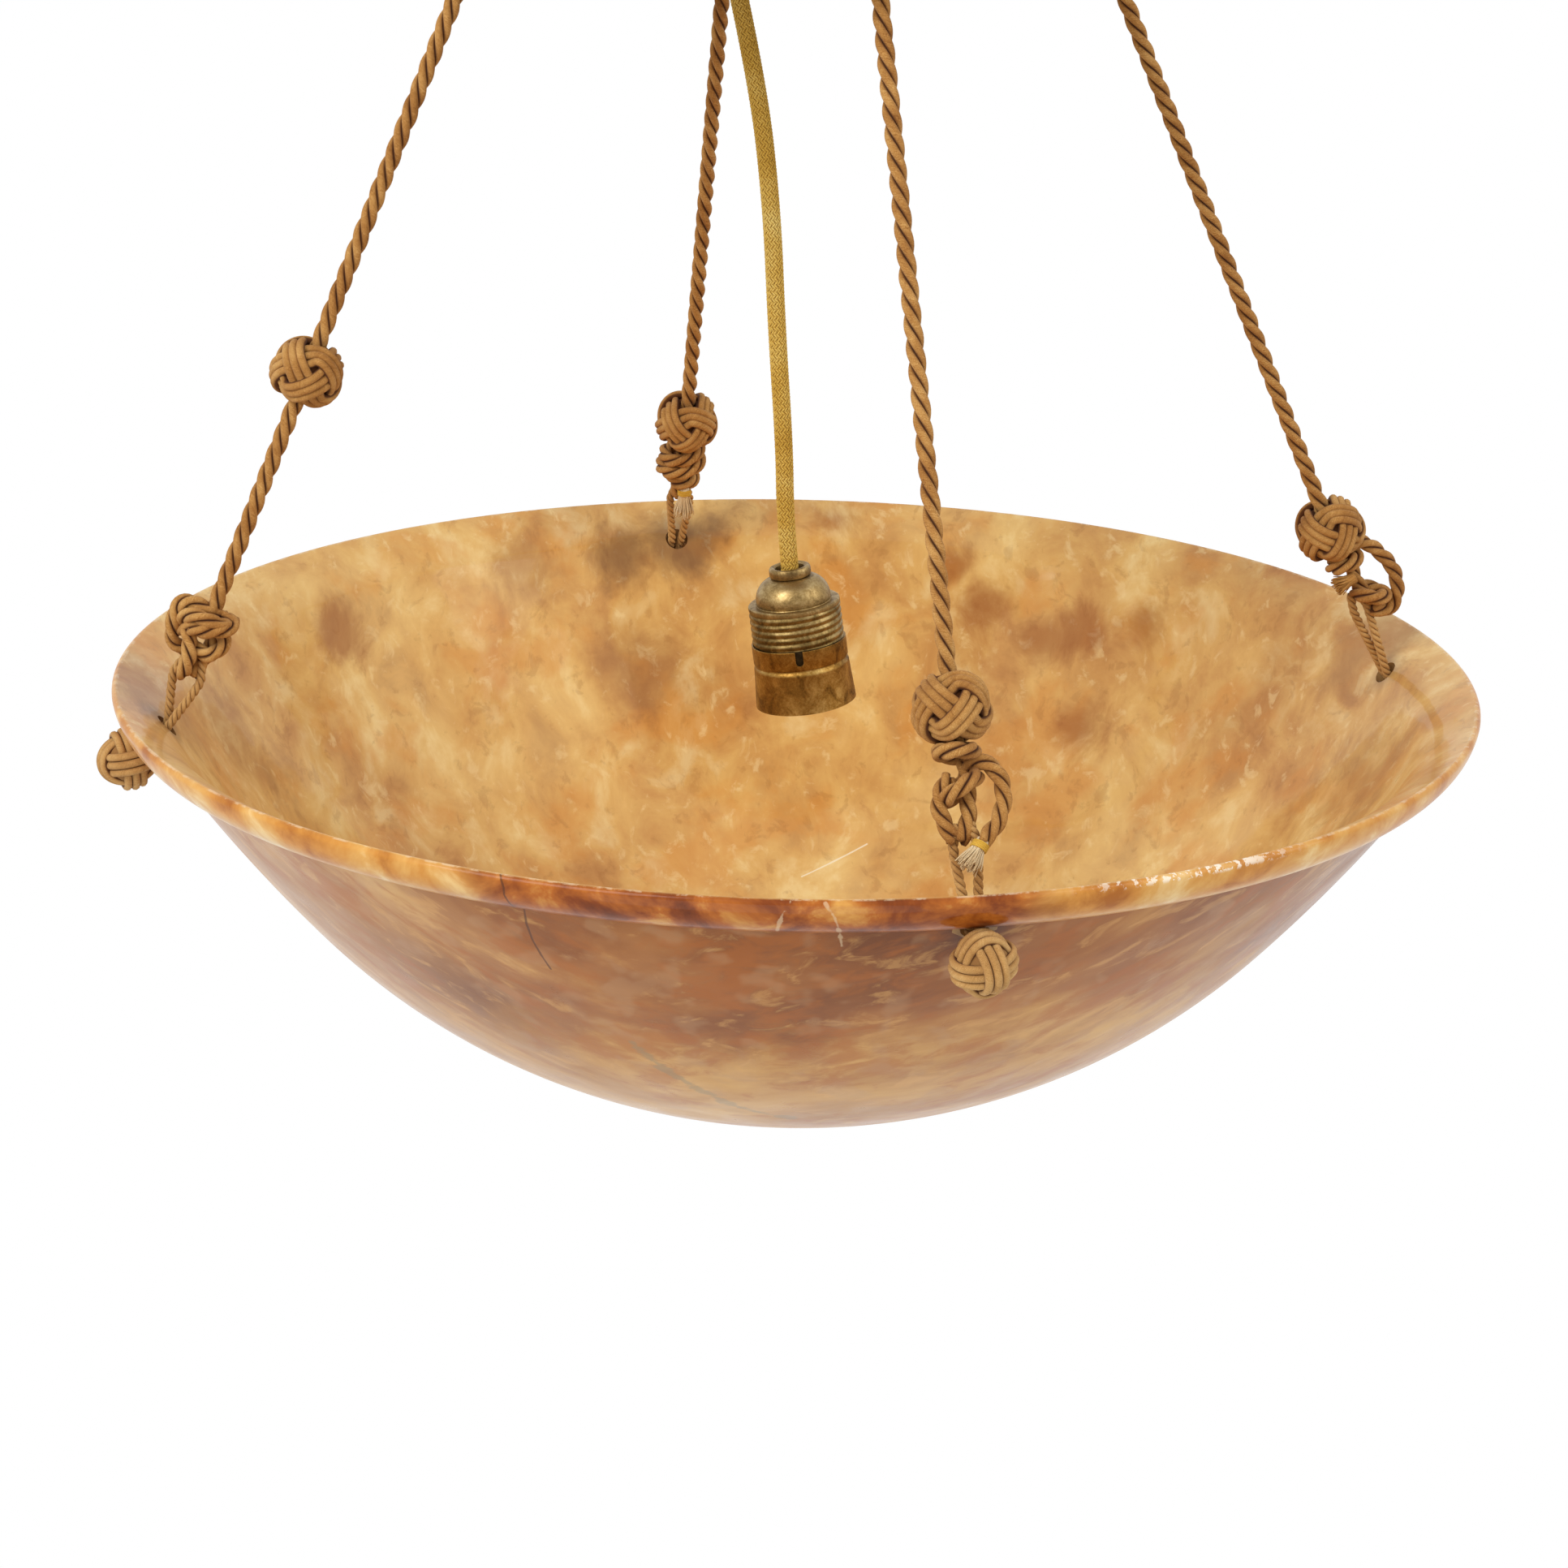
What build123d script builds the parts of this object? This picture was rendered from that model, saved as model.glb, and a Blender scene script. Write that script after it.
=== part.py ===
"""Alabaster bowl pendant: a turned stone bowl on four knotted ropes, with a brass lampholder on its own flex.

Millimetres, +Z up. The origin is the centre of the ceiling face, on the plumb line through the
bowl's centre of mass, and everything hangs below it. Azimuths count from +X towards +Y.
"""
from build123d import *
import math
import os

os.makedirs("parts", exist_ok=True)

# ---- Driving dimensions --------------------------------------------------------------------
# Heights on the plumb line, measured down from the ceiling
rim_drop = 344.0            # ceiling to the bowl's rim plane
rope_meeting_height = 262.0  # the four rope lines meet at this height above the ceiling

# Bowl, turned from one block
rim_diameter = 582.0
bowl_depth = rim_diameter * 0.3265
bowl_wall = 6.5
lip_height = 18.35          # rim plane to the crease under the lip
lip_overhang = 3.3          # underside of the lip beyond the crease
lip_round_height = 2.3      # rim plane to the lip's widest line
crest_inset = 2.0           # crest line inside the widest line
bottom_radius = rim_diameter * 0.4948  # arc through the bottom, centred on the axis
side_radius = rim_diameter * 1.1856    # flatter arc of the flank, tangent to the bottom arc
flank_angle = 48.4          # where the two arcs meet, from the vertical
mass_centre_depth = 86.4   # rim plane to the bowl's centre of mass
hang_tilt = 1.1             # the bowl hangs this much low on its +X side
neck_blend = 9.0            # round between the flared lip and the inner flank
hole_diameter = 11.0
hole_mouth_depth = 13.9     # rim plane to the hole's inner mouth
hole_slope = 50.0           # the holes run down and outward at this angle from level
hole_length = 6.8           # along the hole, from the inner to the outer mouth

# Ropes
rope_diameter = 7.2
hanger_cord_diameter = 4.0
hanger_leg_gap = 0.8        # between the two legs of a hanger loop in its hole
hanger_spread = {"right": 3.2, "back": 4.8, "left": 6.0, "front": 4.6}  # each leg off the rope's line at the hitch
hanger_bend_radius = 7.0
knot_bore_clearance = 0.05
seat_gap = 0.3              # between a knot and what it rests against
pivot_gap = 0.8             # between a hitch and the hanger legs that flex under it

# Turns of each hitch round its rope: place (across, towards the knots' side, up the rope from the
# hitch's foot), mean radius and tilt; the loops, bights and ends are given by the same places
hitch_turns = {
    "right": [((0.9, 0, 25.0), 5.6, 0), ((6.5, 2, 6.6), 6.2, 32)],
    "back": [((-1.4, 0, 30.2), 8.6, -11), ((-1.4, 0, 22.4), 9.8, -11), ((0.5, 0, 14.0), 4.6, 0)],
    "left": [((0, 1, 25.0), 7.6, -14), ((-1.5, 2, 14.0), 5.0, 10)],
    "front": [((0, 0, 36.2), 6.6, 0), ((0.5, 0, 22.0), 6.8, -29)],
}
# The rope's own end beside its standing part, under the turns: radius of the two together, from, to
hitch_cores = {
    "right": (5.0, 2.0, 28.0), "back": (6.6, 11.0, 34.0), "left": (5.6, 7.0, 31.0), "front": (4.8, 17.0, 38.5),
}
left_bow_place = (-4.0, 1.5, 22.8)  # open bow of the left hitch, flat to the knots' side
left_bow_radius = 8.5
left_bight = [(-4.2, 4.2, 20.0), (-1.5, 2.2, 4.2)]
tail_loops = {
    "right": [(3, 0, 24.6), (10.5, 0, 25.2), (17, 0, 20.5), (19.4, 0, 11.5), (16, 0.5, 3.5), (9.5, 1, 1.5)],
    "front": [(2, -1, 29.5), (7.9, 0, 30.5), (12.8, 0, 26.5), (15.3, 0, 18.5), (12.7, 1, 9.5), (7.4, 4, 3.6)],
}
frayed_ends = {
    "right": [(-1.0, 4.5, 17.4), (-7.0, 4.5, 17.0)],
    "back": [(2.1, 6.6, 8.4), (2.8, 6.6, -1.6)],
    "front": [(6.0, 5.2, 1.6), (-0.2, 7.0, -6.0)],
}
frayed_end_radius = 3.9
rope_names = ["right", "back", "left", "front"]
rope_azimuth = {"right": 12.0, "back": 102.8, "left": 192.0, "front": 284.0}
hanger_length = {"right": 31.6, "back": 23.7, "left": 21.5, "front": 22.9}
hitch_length = {"right": 28.5, "back": 35.3, "left": 35.0, "front": 39.7}
slide_knot_lift = {"right": 0.3, "back": 0.3, "left": 91.5, "front": 0.3}
slide_knot_diameter = 31.0
slide_knot_height = 25.0
slide_knot_end_radius = 8.2
turn_radius = 3.3           # half the thickness of the rope's turns in the hitches
knot_side = Vector(0, -0.948, 0.318)  # the side that the loops and tails were left on
stop_knot_diameter = 26.0
stop_knot_shape = (0.94, 1.06, 0.90)  # outward, along the rim, upright
stop_knot_out = 12.5        # hole's outer mouth to the stop knot's centre, outward
stop_knot_down = 9.2        # and down
top_knot_diameter = 23.0
top_knot_flat = 10.7        # centre to the flat that the rope leaves

# Ceiling canopy and what is in it
canopy_margin = 13.0        # rope eyelets to the canopy's edge
canopy_depth = 34.0
canopy_wall = 2.5
canopy_corner_radius = 8.0
eyelet_bore_radius = 7.2
eyelet_wall = 1.6
eyelet_flange = 2.6
eyelet_flange_thickness = 1.5
bracket_width = 30.0
bracket_thickness = 3.0
bracket_height = 14.0
bracket_foot_length = 24.0
bracket_span = 130.0
ceiling_screw_spacing = 110.0
ceiling_screw_hole_diameter = 5.5
nipple_radius = 4.95
nipple_bore_radius = 3.4
nipple_fit = 0.05
locknut_flats = 17.0
locknut_thickness = 4.0
finial_radius = 11.0
finial_height = 9.0

# Flex, its gland and its route in the XZ plane, as (x, height above the rim plane)
flex_diameter = 7.4
flex_route = [(-25.0, 298.0), (-14.5, 250.0), (-8.8, 198.0), (-6.8, 147.0), (-3.6, 96.0), (-3.3, 66.0)]
gland_flange_radius = 11.0
gland_neck_radius = 7.5
gland_flange_thickness = 3.0
gland_neck_height = 6.0
gland_clearance = 0.6
gland_bell_height = 3.2
gland_bell_flare = 2.2
core_diameter = 2.4
core_rise = 4.0             # the cores' arch over the connector block
core_run = 13.0             # level run of the arch at each end
terminal_block_size = (24.0, 20.0, 14.0)
terminal_block_x = -64.0

# Lampholder, measured down its own axis from the top of the collar
lamp_top = (-1.4, 43.6)     # x and height above the rim plane of the collar's top centre
lamp_tilt = 7.0             # its foot leans to +X
collar_radius = 9.0
collar_height = 3.2
collar_bore_radius = 6.1
collar_stem_radius = 7.4
collar_stem_depth = 7.5
bush_top = 3.5
bush_bottom = 9.5
bush_bore_radius = 3.0
sheet_brass = 0.8
dome_radius = 16.0
dome_bottom = 14.5
flange_radius = 19.8
flange_bottom = 16.8
thread_radius = 19.6
shell_wall = 1.3
shell_bottom = 42.0
dome_sleeve_bottom = 21.0
ring_top = 31.8
band_bottom = 40.2
band_wall = 0.75
groove_height = 1.0
groove_depth = 0.5
skirt_bottom = 59.5
skirt_radius = 21.7
shoulder_round = 1.6
slot_width = 3.3
slot_height = 6.2
core_top = 21.4
core_floor = 28.0
core_bottom = 46.0
screw_shell_radius = 14.0   # outside of the lamp's screw socket
screw_shell_wall = 0.6
screw_shell_top = 32.3
screw_shell_bottom = 45.0
shell_foot_width = 4.0
running_fit = 0.06
assembly_gap = 0.2
tongue_width = 5.0
tongue_thickness = 0.8
tongue_length = 8.3
tongue_slope = 12.0
tongue_root_x = -8.0
terminal_screw_radius = 1.8
terminal_screw_head_radius = 3.0
terminal_spread = 9.5

# ---- Places worked out from the dimensions -------------------------------------------------
rope_radius = rope_diameter / 2
hanger_radius = hanger_cord_diameter / 2
rim_radius = rim_diameter / 2
rim_z = -rim_drop
bowl_place = Location((0, 0, rim_z - mass_centre_depth)) * Rot(0, hang_tilt, 0) * Pos(0, 0, mass_centre_depth)
meeting_point = Vector(0, 0, rope_meeting_height)
plate_z = -canopy_depth
lamp_place = Location((lamp_top[0], 0, rim_z + lamp_top[1])) * Rot(0, -lamp_tilt, 0)

# Flank of the bowl: the join of its two outer arcs and the flat arc's centre
join_x = bottom_radius * math.sin(math.radians(flank_angle))
side_centre_x = join_x - side_radius * math.sin(math.radians(flank_angle))
bottom_centre_z = -bowl_depth + bottom_radius
join_z = bottom_centre_z - bottom_radius * math.cos(math.radians(flank_angle))
side_centre_z = join_z + side_radius * math.cos(math.radians(flank_angle))


def flank_x(z, inset=0.0):
    """Radius of the flank at a height, on the outer surface or inset into the wall."""
    return side_centre_x + math.sqrt((side_radius - inset) ** 2 - (z - side_centre_z) ** 2)


def bottom_arc_point(angle, inset=0.0):
    """Point of the bottom arc at an angle from the vertical."""
    radius = bottom_radius - inset
    return (radius * math.sin(math.radians(angle)), bottom_centre_z - radius * math.cos(math.radians(angle)))


def hole_point(name, radius, z):
    """Point at a rope's azimuth, given in the bowl's own radius and height."""
    angle = math.radians(rope_azimuth[name])
    return (bowl_place * Pos(radius * math.cos(angle), radius * math.sin(angle), z)).position


def hole_frame(name):
    """Inner mouth of a rope's hole and its outward direction."""
    mouth_x = flank_x(-hole_mouth_depth, bowl_wall)
    slope = math.radians(hole_slope)
    mouth = hole_point(name, mouth_x, -hole_mouth_depth)
    tip = hole_point(name, mouth_x + math.cos(slope), -hole_mouth_depth - math.sin(slope))
    return mouth, (tip - mouth).normalized()


def rope_line(name):
    """Hole mouth inside the bowl, and the direction from it up the rope."""
    mouth, _ = hole_frame(name)
    return mouth, (meeting_point - mouth).normalized()


def top_knot_centre(name):
    """Centre of the stop knot that seats in the eyelet's mouth, where the rope swings."""
    mouth, up = rope_line(name)
    knot_z = plate_z + canopy_wall + eyelet_flange_thickness + top_knot_diameter / 2 + seat_gap
    return mouth + up * ((knot_z - mouth.Z) / up.Z)


def hitch_foot(name):
    """Lowest point of the hitch knot on the rope's line."""
    mouth, up = rope_line(name)
    return mouth + up * hanger_length[name]


def along(start, direction):
    """Plane at a point whose normal is a direction."""
    return Plane(origin=start, z_dir=direction)


# ---- Bowl ----------------------------------------------------------------------------------
def make_bowl():
    crease_z = -lip_height
    crease_x = flank_x(crease_z)
    lip_under_x = crease_x + lip_overhang
    neck_z = -lip_height * 0.8
    neck_x = flank_x(neck_z, bowl_wall)
    half_round = (rim_radius - lip_under_x) * 0.30
    with BuildPart() as bowl:
        with BuildSketch(Plane.XZ):
            with BuildLine():
                bottom = ThreePointArc(
                    (0, -bowl_depth), bottom_arc_point(flank_angle / 2), (join_x, join_z)
                )
                mid_z = (join_z + crease_z) / 2
                side = ThreePointArc(bottom @ 1, (flank_x(mid_z), mid_z), (crease_x, crease_z))
                under = Line(side @ 1, (lip_under_x, crease_z + 1.0))
                belly = ThreePointArc(
                    under @ 1,
                    (rim_radius - half_round, -(lip_height + lip_round_height) / 2 - 1.2),
                    (rim_radius, -lip_round_height),
                )
                crest = ThreePointArc(
                    belly @ 1,
                    (rim_radius - crest_inset * 0.3, -lip_round_height * 0.3),
                    (rim_radius - crest_inset, 0),
                )
                flare = ThreePointArc(
                    crest @ 1,
                    ((rim_radius - crest_inset + neck_x) / 2, neck_z / 2 + 1.4),
                    (neck_x, neck_z),
                )
                inner_join_x = (side_radius - bowl_wall) * math.sin(math.radians(flank_angle)) + side_centre_x
                inner_join_z = side_centre_z - (side_radius - bowl_wall) * math.cos(math.radians(flank_angle))
                inner_mid_z = (neck_z + inner_join_z) / 2
                inner_side = ThreePointArc(
                    flare @ 1, (flank_x(inner_mid_z, bowl_wall), inner_mid_z), (inner_join_x, inner_join_z)
                )
                inner_bottom = ThreePointArc(
                    inner_side @ 1, bottom_arc_point(flank_angle / 2, bowl_wall), (0, -bowl_depth + bowl_wall)
                )
                Line(inner_bottom @ 1, bottom @ 0)
            make_face()
            fillet_here = [v for v in vertices() if abs(v.X - neck_x) < 0.01 and abs(v.Z - neck_z) < 0.01]
            if fillet_here:
                fillet(fillet_here, neck_blend)
        revolve(axis=Axis.Z)
    solid = bowl_place * bowl.part
    for name in rope_names:
        mouth, outward = hole_frame(name)
        drill = along(mouth + outward * (hole_length / 2), outward)
        solid = solid - drill * Cylinder(hole_diameter / 2, hole_length * 3)
    return solid


# ---- Ropes and knots -----------------------------------------------------------------------
def barrel(radius, end_radius, height, bore):
    """Knot wound round a rope: a barrel with rounded ends and a bore."""
    with BuildPart() as knot:
        with BuildSketch(Plane.XZ):
            with BuildLine():
                Polyline((end_radius, 0), (bore, 0), (bore, height), (end_radius, height))
                ThreePointArc((end_radius, height), (radius, height / 2), (end_radius, 0))
            make_face()
        revolve(axis=Axis.Z)
    return knot.part


def knot_plane(name):
    """Plane at a hitch's foot: X across, Y away from the knots' side, Z up the rope."""
    _, up = rope_line(name)
    across = up.cross(knot_side - up * up.dot(knot_side)).normalized()
    return Plane(origin=hitch_foot(name), x_dir=across, z_dir=up)


def knot_point(place):
    """A place of (across, towards the knots' side, up) in the knot's plane."""
    across, towards, up = place
    return Vector(across, -towards, up)


def cord_radii(points):
    """Largest tangent arc that each corner's two runs allow."""
    radii = []
    for before, corner, after in zip(points, points[1:], points[2:]):
        into = corner - before
        out = after - corner
        half_turn = math.radians(into.get_angle(out) / 2)
        radii.append(0.45 * min(into.length, out.length) / math.tan(half_turn))
    return radii


def make_rope(name):
    foot = hitch_foot(name)
    _, up = rope_line(name)
    start = foot + up * hitch_length[name]
    length = (top_knot_centre(name) - start).length - top_knot_flat
    return along(start, up) * Pos(0, 0, length / 2) * Cylinder(rope_radius, length)


def make_top_knot(name):
    centre = top_knot_centre(name)
    _, up = rope_line(name)
    below = Pos(0, 0, -top_knot_flat - top_knot_diameter) * Cylinder(top_knot_diameter, top_knot_diameter * 2)
    return along(centre, up) * (Sphere(top_knot_diameter / 2) - below)


def rope_turn(place, radius, tilt):
    """One turn of rope round the standing part, tilted across."""
    return Location(knot_point(place)) * Rot(0, tilt, 0) * Torus(radius, turn_radius)


def make_hitch_knot(name):
    """The rope's standing part down to its foot, with the turns of its own end round it."""
    length = hitch_length[name]
    hitch = Pos(0, 0, length / 2) * Cylinder(rope_radius, length)
    core_radius, core_from, core_to = hitch_cores[name]
    hitch = hitch + Pos(0, 0, (core_from + core_to) / 2) * Cylinder(core_radius, core_to - core_from)
    for place, radius, tilt in hitch_turns[name]:
        hitch = hitch + rope_turn(place, radius, tilt)
    if name == "left":
        hitch = hitch + Location(knot_point(left_bow_place)) * Rot(90, 0, 0) * Torus(left_bow_radius, turn_radius)
        top = knot_point(left_bight[0])
        end = knot_point(left_bight[1])
        middle = (top + end) * 0.5
        hitch = hitch + along(middle, end - top) * Cylinder(rope_radius, (end - top).length)
        hitch = hitch + Location(end) * Sphere(rope_radius)
    return knot_plane(name) * hitch


def make_tail_loop(name):
    """The rope's end, led out of the hitch in an open loop and back."""
    points = [knot_point(place) for place in tail_loops[name]]
    path = FilletPolyline(*points, radius=cord_radii(points))
    tube = sweep(along(points[0], path % 0) * Circle(rope_radius - 0.4), path=path)
    shown = (knot_plane(name) * tube - make_hitch_knot(name)).solids()
    return max(shown, key=lambda piece: piece.volume)


def make_frayed_end(name):
    """The cut end of the rope, bound and frayed into a short tuft."""
    root = knot_point(frayed_ends[name][0])
    tip = knot_point(frayed_ends[name][1])
    middle = (root + tip) * 0.5
    length = (tip - root).length
    tuft = along(middle, tip - root) * Cone(frayed_end_radius * 0.8, frayed_end_radius, length)
    solid = knot_plane(name) * tuft - make_hitch_knot(name)
    if name in tail_loops:
        solid = solid - make_tail_loop(name)
    return solid


def make_slide_knot(name):
    foot = hitch_foot(name)
    _, up = rope_line(name)
    start = foot + up * (hitch_length[name] + slide_knot_lift[name])
    bore = rope_radius + knot_bore_clearance
    knot = barrel(slide_knot_diameter / 2, slide_knot_end_radius, slide_knot_height, bore)
    return along(start, up) * knot


def stop_knot_centre(name):
    slope = math.radians(hole_slope)
    exit_x = flank_x(-hole_mouth_depth, bowl_wall) + hole_length * math.cos(slope)
    exit_z = -hole_mouth_depth - hole_length * math.sin(slope)
    return hole_point(name, exit_x + stop_knot_out, exit_z - stop_knot_down)


def make_hanger_loop(name):
    """Two legs of thin cord from under the hitch, over the hole's edge and out to the stop knot."""
    mouth, outward = hole_frame(name)
    _, up = rope_line(name)
    top = hitch_foot(name) - up * pivot_gap
    sideways = up.cross(outward).normalized()
    spread_in_hole = hanger_radius + hanger_leg_gap / 2
    legs = []
    across = knot_plane(name).x_dir
    if across.dot(sideways) < 0:
        across = -across
    for side in (-1, 1):
        start = top + across * side * hanger_spread[name]
        bend = mouth + sideways * side * spread_in_hole
        leave = mouth + outward * (hole_length + seat_gap) + sideways * side * spread_in_hole
        path = FilletPolyline(start, bend, leave, radius=hanger_bend_radius)
        legs.append(sweep(along(start, path % 0) * Circle(hanger_radius), path=path))
    return legs


def make_stop_knot(name):
    """Ball of turns outside the wall that the hanger loop pulls against the bowl."""
    mouth, outward = hole_frame(name)
    place = Location(stop_knot_centre(name)) * Rot(0, 0, rope_azimuth[name])
    ball = place * scale(Sphere(stop_knot_diameter / 2), by=stop_knot_shape)
    neck_length = (stop_knot_out + stop_knot_down) / 2
    neck = along(mouth + outward * (hole_length + seat_gap + neck_length / 2), outward)
    return ball + neck * Cylinder(hole_diameter / 2 - seat_gap, neck_length)


# ---- Ceiling canopy ------------------------------------------------------------------------
def eyelet_centre(name):
    centre = top_knot_centre(name)
    _, up = rope_line(name)
    return centre + up * ((plate_z + canopy_wall / 2 - centre.Z) / up.Z)


def make_canopy():
    """Shallow spun pan, open to the ceiling, with a rounded corner and a rolled foot."""
    reach = max(math.hypot(eyelet_centre(name).X, eyelet_centre(name).Y) for name in rope_names)
    outer = reach + eyelet_bore_radius + eyelet_wall + eyelet_flange + canopy_margin
    with BuildPart() as pan:
        with BuildSketch(Plane.XZ):
            with BuildLine():
                Line((0, plate_z), (outer - canopy_corner_radius, plate_z))
                RadiusArc((outer - canopy_corner_radius, plate_z), (outer, plate_z + canopy_corner_radius),
                          -canopy_corner_radius)
                Polyline((outer, plate_z + canopy_corner_radius), (outer, 0), (outer - canopy_wall, 0),
                         (outer - canopy_wall, plate_z + canopy_corner_radius))
                RadiusArc((outer - canopy_wall, plate_z + canopy_corner_radius),
                          (outer - canopy_corner_radius, plate_z + canopy_wall),
                          canopy_corner_radius - canopy_wall)
                Polyline((outer - canopy_corner_radius, plate_z + canopy_wall), (0, plate_z + canopy_wall),
                         (0, plate_z))
            make_face()
        revolve(axis=Axis.Z)
    solid = pan.part
    hole_height = canopy_wall * 4
    for name in rope_names:
        centre = eyelet_centre(name)
        solid = solid - Pos(centre.X, centre.Y, plate_z) * Cylinder(eyelet_bore_radius + eyelet_wall, hole_height)
    solid = solid - Pos(0, 0, plate_z) * Cylinder(nipple_radius + nipple_fit, hole_height)
    return solid - Pos(flex_route[0][0], 0, plate_z) * Cylinder(gland_neck_radius + nipple_fit, hole_height)


def make_eyelet(name):
    """Bell-mouthed bush that keeps the rope off the canopy's sharp edge."""
    centre = eyelet_centre(name)
    bore = eyelet_bore_radius
    sleeve = bore + eyelet_wall - nipple_fit
    flange = sleeve + eyelet_flange
    low = plate_z - eyelet_flange_thickness
    high = plate_z + canopy_wall + eyelet_flange_thickness
    bush = Pos(centre.X, centre.Y, (low + high) / 2) * Cylinder(sleeve, high - low)
    for z in (low + eyelet_flange_thickness / 2, high - eyelet_flange_thickness / 2):
        bush = bush + Pos(centre.X, centre.Y, z) * Cylinder(flange, eyelet_flange_thickness)
    bush = bush - Pos(centre.X, centre.Y, (low + high) / 2) * Cylinder(bore, 2 * (high - low))
    mouths = [e for e in bush.edges().filter_by(GeomType.CIRCLE) if abs(e.radius - bore) < 0.01]
    return chamfer(mouths, 0.6)


def make_ceiling_bracket():
    """Hat-shaped strap of flat bar: two feet screwed to the ceiling, the raised middle carries the canopy."""
    half = bracket_span / 2
    foot_inner = half - bracket_foot_length
    low = -bracket_height
    with BuildPart() as strap:
        with BuildSketch(Plane.XZ):
            with BuildLine():
                Polyline(
                    (-half, 0), (-foot_inner, 0), (-foot_inner + 8, low), (foot_inner - 8, low),
                    (foot_inner, 0), (half, 0), (half, -bracket_thickness),
                    (foot_inner + 2, -bracket_thickness), (foot_inner - 6, low - bracket_thickness),
                    (-foot_inner + 6, low - bracket_thickness), (-foot_inner - 2, -bracket_thickness),
                    (-half, -bracket_thickness), close=True,
                )
            make_face()
        extrude(amount=bracket_width / 2, both=True)
    solid = Rot(0, 0, 90) * strap.part
    for side in (-1, 1):
        hole = Cylinder(ceiling_screw_hole_diameter / 2, bracket_thickness * 4)
        solid = solid - Pos(0, side * ceiling_screw_spacing / 2, 0) * hole
    return solid - Pos(0, 0, low) * Cylinder(nipple_radius + nipple_fit, bracket_thickness * 4)


def make_canopy_nipple():
    """Hollow threaded stem from the locknut on the strap down into the finial."""
    top = -bracket_height + locknut_thickness + 3
    bottom = plate_z - finial_height + 3
    tube = Cylinder(nipple_radius, top - bottom) - Cylinder(nipple_bore_radius, 2 * (top - bottom))
    return Pos(0, 0, (top + bottom) / 2) * tube


def make_canopy_locknut():
    nut = extrude(RegularPolygon(locknut_flats / 2, 6, major_radius=False), amount=locknut_thickness)
    nut = nut - Cylinder(nipple_radius + nipple_fit, locknut_thickness * 4)
    return Pos(0, 0, -bracket_height) * nut


def make_canopy_spacer():
    """Tube on the nipple that keeps the canopy at its depth below the strap."""
    top = -bracket_height - bracket_thickness
    bottom = plate_z + canopy_wall
    tube = Cylinder(nipple_radius + 3, top - bottom) - Cylinder(nipple_radius + nipple_fit, 2 * (top - bottom))
    return Pos(0, 0, (top + bottom) / 2) * tube


def make_canopy_finial():
    """Turned cap nut that clamps the canopy from below."""
    with BuildPart() as cap:
        with BuildSketch(Plane.XZ):
            with BuildLine():
                Polyline((finial_radius, 0), (0, 0), (0, -finial_height))
                Line((0, -finial_height), (finial_radius * 0.25, -finial_height))
                ThreePointArc((finial_radius * 0.25, -finial_height),
                              (finial_radius * 0.75, -finial_height * 0.68), (finial_radius, -2.0))
                Line((finial_radius, -2.0), (finial_radius, 0))
            make_face()
        revolve(axis=Axis.Z)
    solid = Pos(0, 0, plate_z) * cap.part
    socket = Pos(0, 0, plate_z - (finial_height - 3) / 2) * Cylinder(nipple_radius + nipple_fit, finial_height - 3)
    return solid - socket


def gland_place():
    return Pos(flex_route[0][0], 0, plate_z)


def make_cord_grip():
    """Flex gland in the canopy: a threaded neck through the plate, a flange and a bell mouth below."""
    drop = plate_z - (rim_z + flex_route[0][1])
    throat = flex_diameter / 2 + gland_clearance
    foot = drop + gland_bell_height
    with BuildPart() as gland:
        with BuildSketch(Plane.XZ):
            with BuildLine():
                Polyline(
                    (throat, -drop), (throat, canopy_wall + gland_neck_height),
                    (gland_neck_radius, canopy_wall + gland_neck_height), (gland_neck_radius, 0),
                    (gland_flange_radius, 0), (gland_flange_radius, -gland_flange_thickness),
                    (gland_neck_radius + 0.4, -foot), (throat + gland_bell_flare, -foot), close=True,
                )
            make_face()
        revolve(axis=Axis.Z)
    return gland_place() * gland.part


def make_cord_grip_nut():
    nut = extrude(RegularPolygon(gland_neck_radius + 3.5, 6, major_radius=False), amount=3)
    nut = nut - Cylinder(gland_neck_radius + nipple_fit, 12)
    return gland_place() * Pos(0, 0, canopy_wall) * nut




def make_terminal_block():
    """Two-way connector block screwed to the canopy's floor, with an entry and a screw for each core."""
    width, depth, height = terminal_block_size
    floor = plate_z + canopy_wall
    block = Pos(terminal_block_x, 0, floor + height / 2) * Box(width, depth, height)
    block = fillet(block.edges().filter_by(Axis.Z), 2)
    for y in (-depth / 4, depth / 4):
        entry = Rot(0, 90, 0) * Cylinder(core_diameter / 2 + 0.3, width * 2)
        block = block - Pos(terminal_block_x, y, floor + height / 2) * entry
        well = Cylinder(terminal_screw_head_radius + 0.3, height)
        block = block - Pos(terminal_block_x, y, floor + height) * well
    return block


def make_terminal_block_screws():
    _, depth, height = terminal_block_size
    floor = plate_z + canopy_wall
    bottom = floor + height / 2 + core_diameter / 2 + 0.4
    top = floor + height - 1
    return [Pos(terminal_block_x, y, (bottom + top) / 2) * Cylinder(terminal_screw_head_radius, top - bottom)
            for y in (-depth / 4, depth / 4)]


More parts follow.
